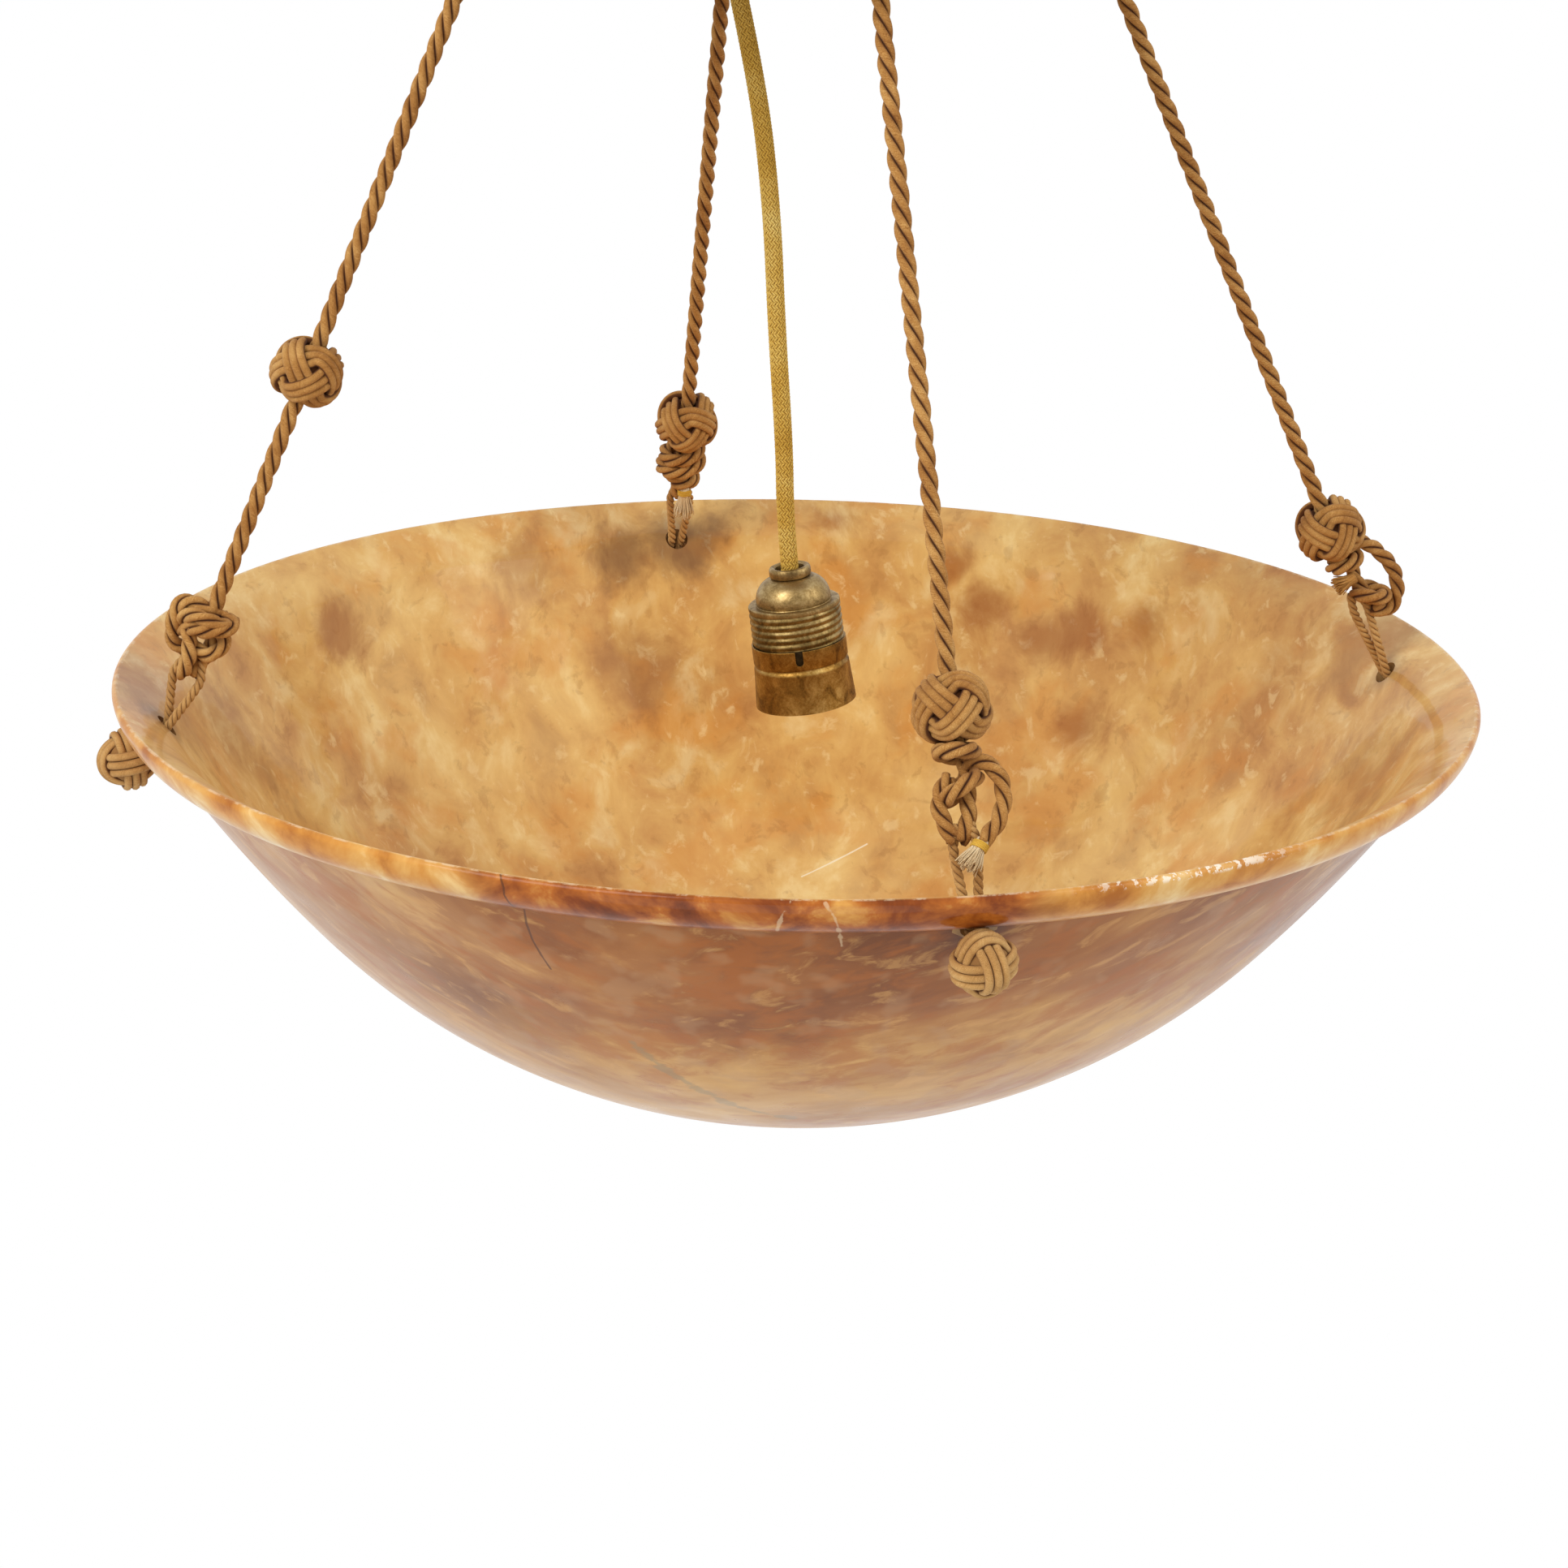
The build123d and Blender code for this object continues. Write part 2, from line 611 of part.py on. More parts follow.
def make_supply_cores():
    """The flex's two insulated cores, from the gland over to the connector block."""
    _, depth, height = terminal_block_size
    entry_x = terminal_block_x + terminal_block_size[0] / 2 - 2
    core_z = plate_z + canopy_wall + height / 2
    start_z = rim_z + flex_route[0][1] + flex_diameter / 2 + seat_gap  # clear of the flex's round end
    over_z = plate_z + canopy_wall + height + core_rise
    gland_x = flex_route[0][0]
    cores = []
    for side in (-1, 1):
        near_y = side * (core_diameter / 2 + 0.3)
        far_y = side * depth / 4
        points = [
            (gland_x, near_y, start_z), (gland_x, near_y, over_z), (gland_x - core_run, far_y, over_z),
            (entry_x + core_run, far_y, core_z), (entry_x, far_y, core_z),
        ]
        path = FilletPolyline(*points, radius=[5.5, 4.5, 4.5])
        start = Plane(origin=points[0], z_dir=(0, 0, 1))
        cores.append(sweep(start * Circle(core_diameter / 2), path=path))
    return cores


# ---- Flex ----------------------------------------------------------------------------------
def flex_points():
    """The route's points in the part's frame, ending just above the bush in the lampholder's collar."""
    points = [Vector(x, 0, rim_z + height) for x, height in flex_route]
    end = lamp_place * Pos(0, 0, -bush_top + seat_gap)
    return points + [end.position]


def make_flex():
    """Braided flex from its ball end in the gland down to the lampholder's collar."""
    points = flex_points()
    radii = cord_radii(points)
    print("flex radii", [round(r) for r in radii])
    path = FilletPolyline(*points, radius=radii)
    start = Plane(origin=points[0], z_dir=(path % 0))
    tube = sweep(start * Circle(flex_diameter / 2), path=path)
    section = math.pi * flex_diameter ** 2 / 4
    print("flex length", round(path.length, 1), "volume over section", round(tube.volume / section, 1))
    return tube + Location(points[0]) * Sphere(flex_diameter / 2)


# ---- Lampholder ----------------------------------------------------------------------------
def turned(points):
    """Solid of revolution from a closed outline of (radius, distance down the axis)."""
    with BuildPart() as body:
        with BuildSketch(Plane.XZ):
            with BuildLine():
                Polyline(*[(r, -s) for r, s in points], close=True)
            make_face()
        revolve(axis=Axis.Z)
    return body.part


def make_lamp_collar():
    """Rolled brass entry ring whose stem passes down through the dome."""
    collar = turned([
        (collar_bore_radius, 0), (collar_radius, 0), (collar_radius, collar_height),
        (collar_stem_radius, collar_height), (collar_stem_radius, collar_stem_depth),
        (collar_bore_radius, collar_stem_depth),
    ])
    rims = [e for e in collar.edges().filter_by(GeomType.CIRCLE) if abs(e.radius - collar_radius) < 0.01]
    return fillet(rims, collar_height * 0.4)


def make_insulating_bush():
    outer = collar_bore_radius - running_fit
    return turned([(bush_bore_radius, bush_top), (outer, bush_top), (outer, bush_bottom),
                   (bush_bore_radius, bush_bottom)])


def make_dome_cap():
    """Spun dome, its flat flange and the inner sleeve that screws into the shell."""
    outer_top = collar_stem_radius + running_fit
    bulge = (dome_radius * 0.885, collar_height + (dome_bottom - collar_height) * 0.34)
    sleeve_outer = thread_radius - shell_wall - running_fit
    sleeve_inner = sleeve_outer - sheet_brass
    with BuildPart() as cap:
        with BuildSketch(Plane.XZ):
            with BuildLine():
                ThreePointArc((outer_top + 0.8, -collar_height - 0.1), (bulge[0], -bulge[1]),
                              (dome_radius, -dome_bottom))
                Polyline((dome_radius, -dome_bottom), (flange_radius - 0.6, -dome_bottom),
                         (flange_radius, -dome_bottom - 0.6), (flange_radius, -flange_bottom),
                         (sleeve_outer, -flange_bottom), (sleeve_outer, -dome_sleeve_bottom),
                         (sleeve_inner, -dome_sleeve_bottom), (sleeve_inner, -flange_bottom),
                         (dome_radius - sheet_brass, -dome_bottom))
                ThreePointArc((dome_radius - sheet_brass, -dome_bottom),
                              (bulge[0] - sheet_brass * 0.75, -bulge[1] - sheet_brass * 0.7),
                              (outer_top, -collar_height - 0.1 - sheet_brass))
                Line((outer_top, -collar_height - 0.1 - sheet_brass), (outer_top, -collar_height - 0.1))
                Line((outer_top, -collar_height - 0.1), (outer_top + 0.8, -collar_height - 0.1))
            make_face()
        revolve(axis=Axis.Z)
    return cap.part


def make_threaded_shell():
    inner = thread_radius - shell_wall
    return turned([(inner, flange_bottom), (thread_radius, flange_bottom), (thread_radius, shell_bottom),
                   (inner, shell_bottom)])


def make_shade_ring():
    """Screw-on ring: a plain band with a key slot, a groove, a rounded shoulder and a flared skirt."""
    inner = thread_radius + running_fit
    outer = inner + band_wall
    groove = outer - groove_depth
    shoulder_top = band_bottom + groove_height
    skirt_inner = skirt_radius - sheet_brass
    with BuildPart() as ring:
        with BuildSketch(Plane.XZ):
            with BuildLine():
                Polyline((inner, -ring_top), (outer, -ring_top), (outer, -band_bottom), (groove, -band_bottom),
                         (groove, -shoulder_top))
                ThreePointArc((groove, -shoulder_top), (outer - 0.1, -shoulder_top - shoulder_round * 0.35),
                              (outer + 0.1, -shoulder_top - shoulder_round))
                Polyline((outer + 0.1, -shoulder_top - shoulder_round), (skirt_radius, -skirt_bottom),
                         (skirt_inner, -skirt_bottom), (inner, -shell_bottom - 1), (inner, -ring_top))
            make_face()
        revolve(axis=Axis.Z)
    slot = Box(slot_width, band_wall * 6, slot_height * 2)
    slot = fillet(slot.edges().filter_by(Axis.Y), slot_width * 0.45)
    return ring.part - Pos(0, -outer, -ring_top) * slot


def make_porcelain_core():
    """Ceramic insert: a terminal floor above and a cup round the screw shell below."""
    outer = thread_radius - shell_wall - 2 * running_fit - sheet_brass - assembly_gap
    cup = turned([
        (0, core_top), (outer, core_top), (outer, core_bottom), (screw_shell_radius + running_fit, core_bottom),
        (screw_shell_radius + running_fit, core_floor), (0, core_floor),
    ])
    for side in (-1, 1):
        screw_way = Cylinder(terminal_screw_radius + nipple_fit, 2 * (core_bottom - core_top))
        cup = cup - Pos(side * terminal_spread, 0, -core_top) * screw_way
    return cup


def make_screw_shell():
    """The lamp's screw socket, with a strip up to the floor and a foot under the second terminal screw."""
    inner = screw_shell_radius - screw_shell_wall
    shell = turned([(inner, screw_shell_top), (screw_shell_radius, screw_shell_top),
                    (screw_shell_radius, screw_shell_bottom), (inner, screw_shell_bottom)])
    strip_height = screw_shell_top - core_floor + 1
    strip_x = screw_shell_radius - screw_shell_wall / 2 - 0.2
    strip = Pos(strip_x, 0, -core_floor - strip_height / 2) * Box(screw_shell_wall, shell_foot_width, strip_height)
    foot_length = strip_x - terminal_spread + shell_foot_width / 2
    foot_x = strip_x + screw_shell_wall / 2 - foot_length / 2
    foot = Pos(foot_x, 0, -core_floor - screw_shell_wall / 2) * Box(foot_length, shell_foot_width, screw_shell_wall)
    screw_way = Pos(terminal_spread, 0, -core_floor) * Cylinder(terminal_screw_radius + running_fit, 4)
    return shell + strip + foot - screw_way


def tongue_root():
    return Pos(tongue_root_x, 0, -core_floor - tongue_thickness)


def make_contact_foot():
    """Fixed foot of the centre contact, flat on the ceramic floor under the terminal screw."""
    foot = Pos(-tongue_length * 0.05, 0, tongue_thickness / 2) * Box(5.4, tongue_width, tongue_thickness)
    screw_way = Cylinder(terminal_screw_radius + nipple_fit, 2 * (core_bottom - core_top))
    return tongue_root() * foot - Pos(-terminal_spread, 0, -core_top) * screw_way


def make_centre_contact():
    """Springy bronze tongue that the lamp's centre pushes up, bending at its root."""
    tongue = Pos(tongue_length / 2, 0, -tongue_thickness / 2) * Box(tongue_length, tongue_width, tongue_thickness)
    tip = Pos(tongue_length - tongue_width / 2, 0, -tongue_thickness) * Cylinder(tongue_width * 0.42, 1.0)
    return tongue_root() * Pos(2.2, 0, -assembly_gap) * Rot(0, tongue_slope, 0) * (tongue + tip)


def make_terminal_screws():
    """Two terminal screws from above the ceramic floor through to the contacts."""
    screws = []
    for side in (-1, 1):
        reach = core_floor + (screw_shell_wall if side > 0 else tongue_thickness)
        shank = turned([(0, core_top - 3), (terminal_screw_radius, core_top - 3),
                        (terminal_screw_radius, reach), (0, reach)])
        head = turned([(0, core_top - 3), (terminal_screw_head_radius, core_top - 3),
                       (terminal_screw_head_radius, core_top - 0.9), (0, core_top - 0.9)])
        screws.append(Pos(side * terminal_spread, 0, 0) * (shank + head))
    return screws


def make_lamp_cores():
    """The two cores inside the dome, from the bush to the terminal screws."""
    cores = []
    for side in (-1, 1):
        points = [
            (side * 1.5, 0, -bush_top), (side * 1.5, 0, -bush_bottom - 3),
            (side * (terminal_spread - terminal_screw_head_radius), 0, -core_top + 3 + core_diameter / 2 + 0.2),
        ]
        path = FilletPolyline(*points, radius=2.6)
        start = Plane(origin=points[0], z_dir=(0, 0, -1))
        cores.append(sweep(start * Circle(core_diameter / 2 - 0.1), path=path))
    return cores


# ---- Write every piece ---------------------------------------------------------------------
def write(shape, node):
    if isinstance(shape, list):
        shape = Compound(children=shape)
    export_step(shape, f"parts/{node}.step")


write(make_canopy(), "canopy")
write([make_eyelet(name) for name in rope_names], "rope_eyelets")
write(make_ceiling_bracket(), "ceiling_bracket")
write(make_canopy_nipple(), "canopy_nipple")
write(make_canopy_locknut(), "canopy_locknut")
write(make_canopy_spacer(), "canopy_spacer")
write(make_canopy_finial(), "canopy_finial")
write(make_cord_grip(), "cord_grip")
write(make_cord_grip_nut(), "cord_grip_nut")
write(make_terminal_block(), "terminal_block")
write(make_terminal_block_screws(), "terminal_block_screws")
write(make_supply_cores(), "supply_cores")

write(make_bowl(), "bowl")
for name in rope_names:
    write(make_rope(name), f"{name}_rope")
    write(make_top_knot(name), f"{name}_top_knot")
    write(make_slide_knot(name), f"{name}_slide_knot")
    write(make_hitch_knot(name), f"{name}_hitch_knot")
    if name in tail_loops:
        write(make_tail_loop(name), f"{name}_tail_loop")
    if name in frayed_ends:
        write(make_frayed_end(name), f"{name}_frayed_end")
    write(make_hanger_loop(name), f"{name}_hanger_loop")
    write(make_stop_knot(name), f"{name}_stop_knot")

write(make_flex(), "flex")
write(lamp_place * make_lamp_collar(), "lamp_collar")
write(lamp_place * make_insulating_bush(), "insulating_bush")
write(lamp_place * make_dome_cap(), "dome_cap")
write(lamp_place * make_threaded_shell(), "threaded_shell")
write(lamp_place * make_shade_ring(), "shade_ring")
write(lamp_place * make_porcelain_core(), "porcelain_core")
write(lamp_place * make_screw_shell(), "screw_shell")
write(lamp_place * make_contact_foot(), "contact_foot")
write(lamp_place * make_centre_contact(), "centre_contact")
write([lamp_place * screw for screw in make_terminal_screws()], "terminal_screws")
write([lamp_place * core for core in make_lamp_cores()], "lamp_cores")
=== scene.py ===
import cmath
import math
import random

import bmesh
import bpy
import numpy as np
from mathutils import Matrix, Vector


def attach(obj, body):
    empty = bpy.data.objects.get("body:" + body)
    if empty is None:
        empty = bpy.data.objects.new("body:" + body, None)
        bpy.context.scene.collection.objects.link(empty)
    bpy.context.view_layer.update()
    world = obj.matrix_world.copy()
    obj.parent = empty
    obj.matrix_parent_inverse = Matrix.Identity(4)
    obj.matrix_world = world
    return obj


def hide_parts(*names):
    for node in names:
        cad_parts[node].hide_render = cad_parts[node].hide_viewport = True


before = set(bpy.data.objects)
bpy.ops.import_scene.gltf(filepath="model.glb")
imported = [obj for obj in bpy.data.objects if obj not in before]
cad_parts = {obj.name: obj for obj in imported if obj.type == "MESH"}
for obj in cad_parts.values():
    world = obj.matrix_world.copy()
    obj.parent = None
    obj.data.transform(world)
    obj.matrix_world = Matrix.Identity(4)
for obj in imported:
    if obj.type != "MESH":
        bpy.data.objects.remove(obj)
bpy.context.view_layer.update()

# ---- Camera and light ----
# The bowl hangs in a plain white room and is seen from a little above its rim. The light is
# large and soft, a little stronger from the upper left in front.
scene = bpy.context.scene
scene.view_settings.view_transform = "Standard"


def add(tree, kind, sockets=(), **settings):
    """A shader node; sockets gives its inputs values or other nodes' outputs."""
    node = tree.nodes.new("ShaderNode" + kind)
    for key, value in settings.items():
        setattr(node, key, value)
    for key, value in dict(sockets).items():
        if isinstance(value, bpy.types.NodeSocket):
            tree.links.new(value, node.inputs[key])
        else:
            node.inputs[key].default_value = value
    return node


def derived(kind, sockets, **settings):
    """A shader node in the tree that its inputs come from."""
    tree = next(v.id_data for v in sockets.values() if isinstance(v, bpy.types.NodeSocket))
    return add(tree, kind, sockets, **settings)


def calc(operation, a, b=0.0, clamp=False):
    return derived("Math", {0: a, 1: b}, operation=operation, use_clamp=clamp).outputs[0]


def in_scene(name, data):
    made = bpy.data.objects.new(name, data)
    scene.collection.objects.link(made)
    return made


camera = in_scene("camera", bpy.data.cameras.new("camera"))
camera.data.lens = 88.0
camera.data.sensor_width = 36.0
camera.location = (0.0024, -1.5815, 0.1338)
camera.rotation_euler = (math.radians(90 - 18.573), 0, math.radians(0.224))
scene.camera = camera

world = bpy.data.worlds.new("room")
scene.world = world
world.use_nodes = True
room = world.node_tree
lit = room.nodes["Background"]
lit.inputs["Color"].default_value = (1.0, 0.985, 0.96, 1)
lit.inputs["Strength"].default_value = 0.62
seen = add(room, "Background", {"Color": (1, 1, 1, 1), "Strength": 1.0})
rays = add(room, "LightPath").outputs
plainly_seen = calc("MAXIMUM", rays["Is Camera Ray"], rays["Is Glossy Ray"])
plainly_seen = calc("MAXIMUM", plainly_seen, rays["Is Transmission Ray"])
choice = add(room, "MixShader", {0: plainly_seen, 1: lit.outputs[0], 2: seen.outputs[0]})
room.links.new(choice.outputs[0], room.nodes["World Output"].inputs[0])

for name, place, target, size, power in (
    ("key_light", (-1.3, -1.5, 1.1), (0, 0, -0.36), 1.5, 34.0),
    ("right_light", (1.7, -0.6, 0.7), (0, 0, -0.36), 1.4, 12.0),
    ("low_light", (-0.2, -1.6, -1.3), (0, 0, -0.45), 1.5, 7.0),
):
    lamp = in_scene(name, bpy.data.lights.new(name, "AREA"))
    lamp.data.size = size
    lamp.data.energy = power
    lamp.location = place
    lamp.rotation_euler = (Vector(target) - Vector(place)).to_track_quat("-Z", "Y").to_euler()

# ---- Bowl ----
# One block of honey and amber alabaster turned to a 6.5 mm wall, with a flared lip and four
# drilled holes whose edges are stained. The polish is glossy, with scratches, chips along the
# crest and one hairline crack at the front left.
bowl_radius = 0.291
bowl_depth = 0.190023
wall = 0.0065
rim_height = -0.344
mass_centre_depth = 0.0864
bowl_tilt = 1.1
bottom_radius = 0.2879736
side_radius = 0.6900192
side_centre = (-0.3006490, 0.3648792)
join_angle = math.radians(48.4)
lip_height = 0.01835
crest_point = (bowl_radius - 0.002, 0.0)  # the lip's highest line, in the bowl's own frame
hole_radius = 0.0055
holes = {  # inner mouth and outward direction
    "right": ((0.2638, 0.05579, -0.36295), (0.61392, 0.13364, -0.77797)),
    "back": ((-0.05804, 0.26165, -0.35677), (-0.15709, 0.62681, -0.76317)),
    "left": ((-0.26102, -0.05579, -0.35287), (-0.64333, -0.13364, -0.75383)),
    "front": ((0.06629, -0.26035, -0.35916), (0.14077, -0.62369, -0.76889)),
}
bowl_place = (
    Matrix.Translation((0, 0, rim_height - mass_centre_depth))
    @ Matrix.Rotation(math.radians(bowl_tilt), 4, "Y")
    @ Matrix.Translation((0, 0, mass_centre_depth))
)


def times(a, b):
    return calc("MULTIPLY", a, b)


def plus(value, other, share):
    """The value with this share of another one added."""
    return calc("ADD", value, times(other, share))


def vectors(operation, a, b):
    return derived("VectorMath", {0: a, 1: b}, operation=operation).outputs


def noise(vector, scale, detail, roughness, distortion=0.0):
    sockets = {"Vector": vector, "Scale": scale, "Detail": detail, "Roughness": roughness}
    return derived("TexNoise", {**sockets, "Distortion": distortion}).outputs[0]


def spread(value, low, high, to_low=0.0, to_high=1.0, kind="SMOOTHSTEP"):
    """The value's stretch from low to high, spread between two other values."""
    sockets = {0: value, 1: low, 2: high, 3: to_low, 4: to_high}
    return derived("MapRange", sockets, interpolation_type=kind).outputs[0]


def rgb(red, green, blue):
    """A linear colour from 0-255 display values."""
    return tuple((v / 255 / 12.92) if v <= 10 else ((v / 255 + 0.055) / 1.055) ** 2.4
                 for v in (red, green, blue)) + (1.0,)


def ramp(factor, stops):
    """Colours by a value, from (value, colour) stops."""
    node = derived("ValToRGB", {0: factor})
    while len(node.color_ramp.elements) < len(stops):
        node.color_ramp.elements.new(0.5)
    for element, (position, colour) in zip(node.color_ramp.elements, stops):
        element.position = position
        element.color = rgb(*colour)
    return node.outputs[0]


def mixed(factor, a, b):
    return derived("Mix", {0: factor, 6: a, 7: b}, data_type="RGBA").outputs[2]


def tinted(under, mask, share, colour):
    """The colour under, with this share of another laid over it where the mask is 1."""
    return mixed(times(mask, share), under, rgb(*colour))


def bump(height, strength, distance, **normal):
    sockets = {"Height": height, "Strength": strength, "Distance": distance, **normal}
    return derived("Bump", sockets).outputs[0]


def finish_of(name, **sockets):
    """A new material, its node tree and its shader, with the shader's own values set."""
    made = bpy.data.materials.new(name)
    made.use_nodes = True
    surface = made.node_tree.nodes["Principled BSDF"]
    for key, value in sockets.items():
        surface.inputs[key.replace("_", " ")].default_value = value
    return made, made.node_tree, surface


def wire(surface, **sockets):
    for key, value in sockets.items():
        surface.id_data.links.new(value, surface.inputs[key.replace("_", " ")])


def arc(start, through, end, steps):
    """Points of the arc through three places, without the first."""
    a, b, c = (complex(*place) for place in (start, through, end))
    w = (c - a) / (b - a)
    centre = a + (b - a) * (w - abs(w) ** 2) / (2j * w.imag)
    turn_b, turn_c = (cmath.phase((p - centre) / (a - centre)) % math.tau for p in (b, c))
    turn = turn_c if turn_b < turn_c else turn_c - math.tau
    points = [centre + (a - centre) * cmath.exp(1j * turn * i / steps) for i in range(1, steps + 1)]
    return [(p.real, p.imag) for p in points]


def lathe(name, profile, segments, place, closed=False, sharp=35.0):
    """Body turned about Z from (radius, height) points: pole to pole, or a closed outline."""
    made = bmesh.new()
    along = made.verts.layers.float.new("along")
    rows = []
    gone = 0.0
    for i, (radius, height) in enumerate(profile):
        if i:
            gone += math.dist(profile[i], profile[i - 1])
        count = segments if radius > 1e-7 else 1
        row = []
        for k in range(count):
            angle = math.tau * k / segments
            vertex = made.verts.new((radius * math.cos(angle), radius * math.sin(angle), height))
            vertex[along] = gone
            row.append(vertex)
        rows.append(row)
    pairs = list(zip(rows, rows[1:])) + ([(rows[-1], rows[0])] if closed else [])
    for low, high in pairs:
        for k in range(segments):
            n = k + 1
            corners = (low[k % len(low)], low[n % len(low)], high[n % len(high)], high[k % len(high)])
            distinct = list(dict.fromkeys(corners))
            if len(distinct) > 2:
                made.faces.new(distinct)
    bmesh.ops.recalc_face_normals(made, faces=made.faces)
    made.transform(place)
    return placed(name, made, sharp)


def placed(name, made, sharp=None):
    """The bmesh as an object of the scene, smooth but for edges past the sharp angle."""
    mesh = bpy.data.meshes.new(name)
    made.to_mesh(mesh)
    made.free()
    mesh.shade_smooth()
    if sharp is not None:
        mesh.set_sharp_from_angle(angle=math.radians(sharp))
    return in_scene(name, mesh)


def evaluated(piece):
    return bpy.data.meshes.new_from_object(piece.evaluated_get(bpy.context.evaluated_depsgraph_get()))


def cut_away(piece, cutters, sharp):
    """Takes the cutters out of the piece, which is left without a finish."""
    for cutter in cutters:
        cut = piece.modifiers.new("cut", "BOOLEAN")
        cut.operation = "DIFFERENCE"
        cut.solver = "EXACT"
        cut.object = cutter
    piece.data = evaluated(piece)
    for cut in list(piece.modifiers):
        bpy.data.objects.remove(cut.object)
        piece.modifiers.remove(cut)
    piece.data.set_sharp_from_angle(angle=math.radians(sharp))
    piece.data.materials.clear()


def distances(line):
    """How far along the polyline each of its points lies."""
    return np.concatenate([[0], np.cumsum(np.linalg.norm(np.diff(line, axis=0), axis=1))])


def bowl_profile():
    """From the middle of the inside, up the wall, over the lip and down to the middle below."""
    def bottom(angle, inset):
        radius = bottom_radius - inset
        return (radius * math.sin(angle), bottom_radius - bowl_depth - radius * math.cos(angle))

    def flank(height, inset):
        radius = side_radius - inset
        return (side_centre[0] + math.sqrt(radius**2 - (height - side_centre[1]) ** 2), height)

    join_height = bottom(join_angle, 0)[1]
    inner_join_height = bottom(join_angle, wall)[1]
    neck = flank(-lip_height * 0.8, wall)
    hollow = ((crest_point[0] + neck[0]) / 2, neck[1] / 2 + 0.0014)
    flare = arc(crest_point, hollow, neck, 30)[::-1] + [crest_point]
    points = [bottom(join_angle * i / 40, wall) for i in range(41)]
    points[0] = (0.0, points[0][1])
    wall_top = neck[1] - 0.0035
    points += [flank(inner_join_height + (wall_top - inner_join_height) * i / 30, wall) for i in range(1, 31)]
    flare_from = next(i for i, p in enumerate(flare) if math.dist(p, neck) > 0.0045)
    start, end = points[-1], flare[flare_from]
    for i in range(1, 10):
        t = i / 10
        points.append(tuple((1 - t) ** 2 * a + 2 * t * (1 - t) * b + t * t * c
                            for a, b, c in zip(start, neck, end)))
    points += flare[flare_from:]
    widest = (bowl_radius, -0.0023)
    points += arc(crest_point, (bowl_radius - 0.0006, -0.00069), widest, 8)
    crease = flank(-lip_height, 0)
    under = (crease[0] + 0.0033, -lip_height + 0.001)
    half_round = (bowl_radius - under[0]) * 0.30
    points += arc(widest, (bowl_radius - half_round, -0.011525), under, 16)
    points += [((under[0] + crease[0]) / 2 + 0.0001, (under[1] + crease[1]) / 2), crease]
    points += [flank(crease[1] + (join_height - crease[1]) * i / 30, 0) for i in range(1, 31)]
    points += [bottom(join_angle * (1 - i / 40), 0) for i in range(1, 41)]
    points[-1] = (0.0, points[-1][1])
    return points


outline = bowl_profile()
bowl = lathe("alabaster_bowl", outline, 384, bowl_place, sharp=30.0)
drills = []
for mouth, outward in holes.values():
    drill = bmesh.new()
    middle = Vector(mouth) + Vector(outward) * 0.0034
    turn = Vector(outward).to_track_quat("Z", "Y").to_matrix().to_4x4()
    bmesh.ops.create_cone(drill, cap_ends=True, segments=48, radius1=hole_radius, radius2=hole_radius,
                          depth=0.03, matrix=Matrix.Translation(middle) @ turn)
    drills.append(placed("drill", drill))
cut_away(bowl, drills, 40)

stone, tree, surface = finish_of("alabaster", IOR=1.52, Specular_IOR_Level=0.08, Coat_Weight=0.3,
                                 Coat_Roughness=0.06)
at = add(tree, "TexCoord").outputs["Object"]
along = add(tree, "Attribute", attribute_name="along").outputs["Fac"]
x_part, y_part, z_part = add(tree, "SeparateXYZ", {0: at}).outputs[:3]
walked = distances(outline)
crest_index = outline.index(crest_point)
crest_at = float(walked[crest_index])
crease_index = min(range(crest_index, len(outline)), key=lambda i: abs(outline[i][1] + lip_height))
crease_at = float(walked[crease_index])
outside = spread(along, crest_at - 0.0004, crest_at + 0.0012)
below_lip = spread(along, crease_at - 0.004, crease_at - 0.0015)


def drawn_out(direction, share):
    """The place with its reach along one direction shortened, so that patches lie along it."""
    length = vectors("DOT_PRODUCT", at, direction)["Value"]
    part = add(tree, "VectorMath", {0: direction, "Scale": times(length, share)}, operation="SCALE")
    return vectors("SUBTRACT", at, part.outputs[0])[0]


bedding = drawn_out((0.10, -0.82, -0.56), 0.30)
falling = drawn_out((-0.80, 0.10, 0.55), 0.6)
rising = drawn_out((0.87, 0.10, 0.48), 0.6)
patches = noise(bedding, 15.0, 3.0, 0.5, 0.3)
mottle = noise(bedding, 38.0, 5.0, 0.58, 0.4)
flecks = noise(bedding, 105.0, 5.0, 0.62, 0.5)
warmth = noise(at, 24.0, 4.0, 0.55, 0.2)
right_half = spread(plus(x_part, mottle, 0.1), -0.07, 0.03)


def slanting(scale, detail, roughness, distortion):
    """Noise drawn out down to the right on the bowl's left side, and up to the right on its right."""
    left, right = (noise(way, scale, detail, roughness, distortion) for way in (falling, rising))
    return derived("Mix", {0: right_half, 2: left, 3: right}, data_type="FLOAT").outputs[0]


drifts = slanting(20.0, 4.0, 0.55, 0.3)
dashes = slanting(95.0, 5.0, 0.6, 0.6)
clouds = noise(at, 62.0, 2.0, 0.4, 0.2)


def near(place, reach, ragged=0.6):
    """1 at a place, falling raggedly to 0 at its reach."""
    distance = vectors("DISTANCE", at, place)["Value"]
    uneven = plus(distance, calc("SUBTRACT", mottle, 0.5), reach * ragged * 3)
    return spread(uneven, reach * 0.15, reach, 1.0, 0.0)


def most(values):
    """The greatest of the values at each place."""
    greatest = values[0]
    for value in values[1:]:
        greatest = calc("MAXIMUM", greatest, value)
    return greatest


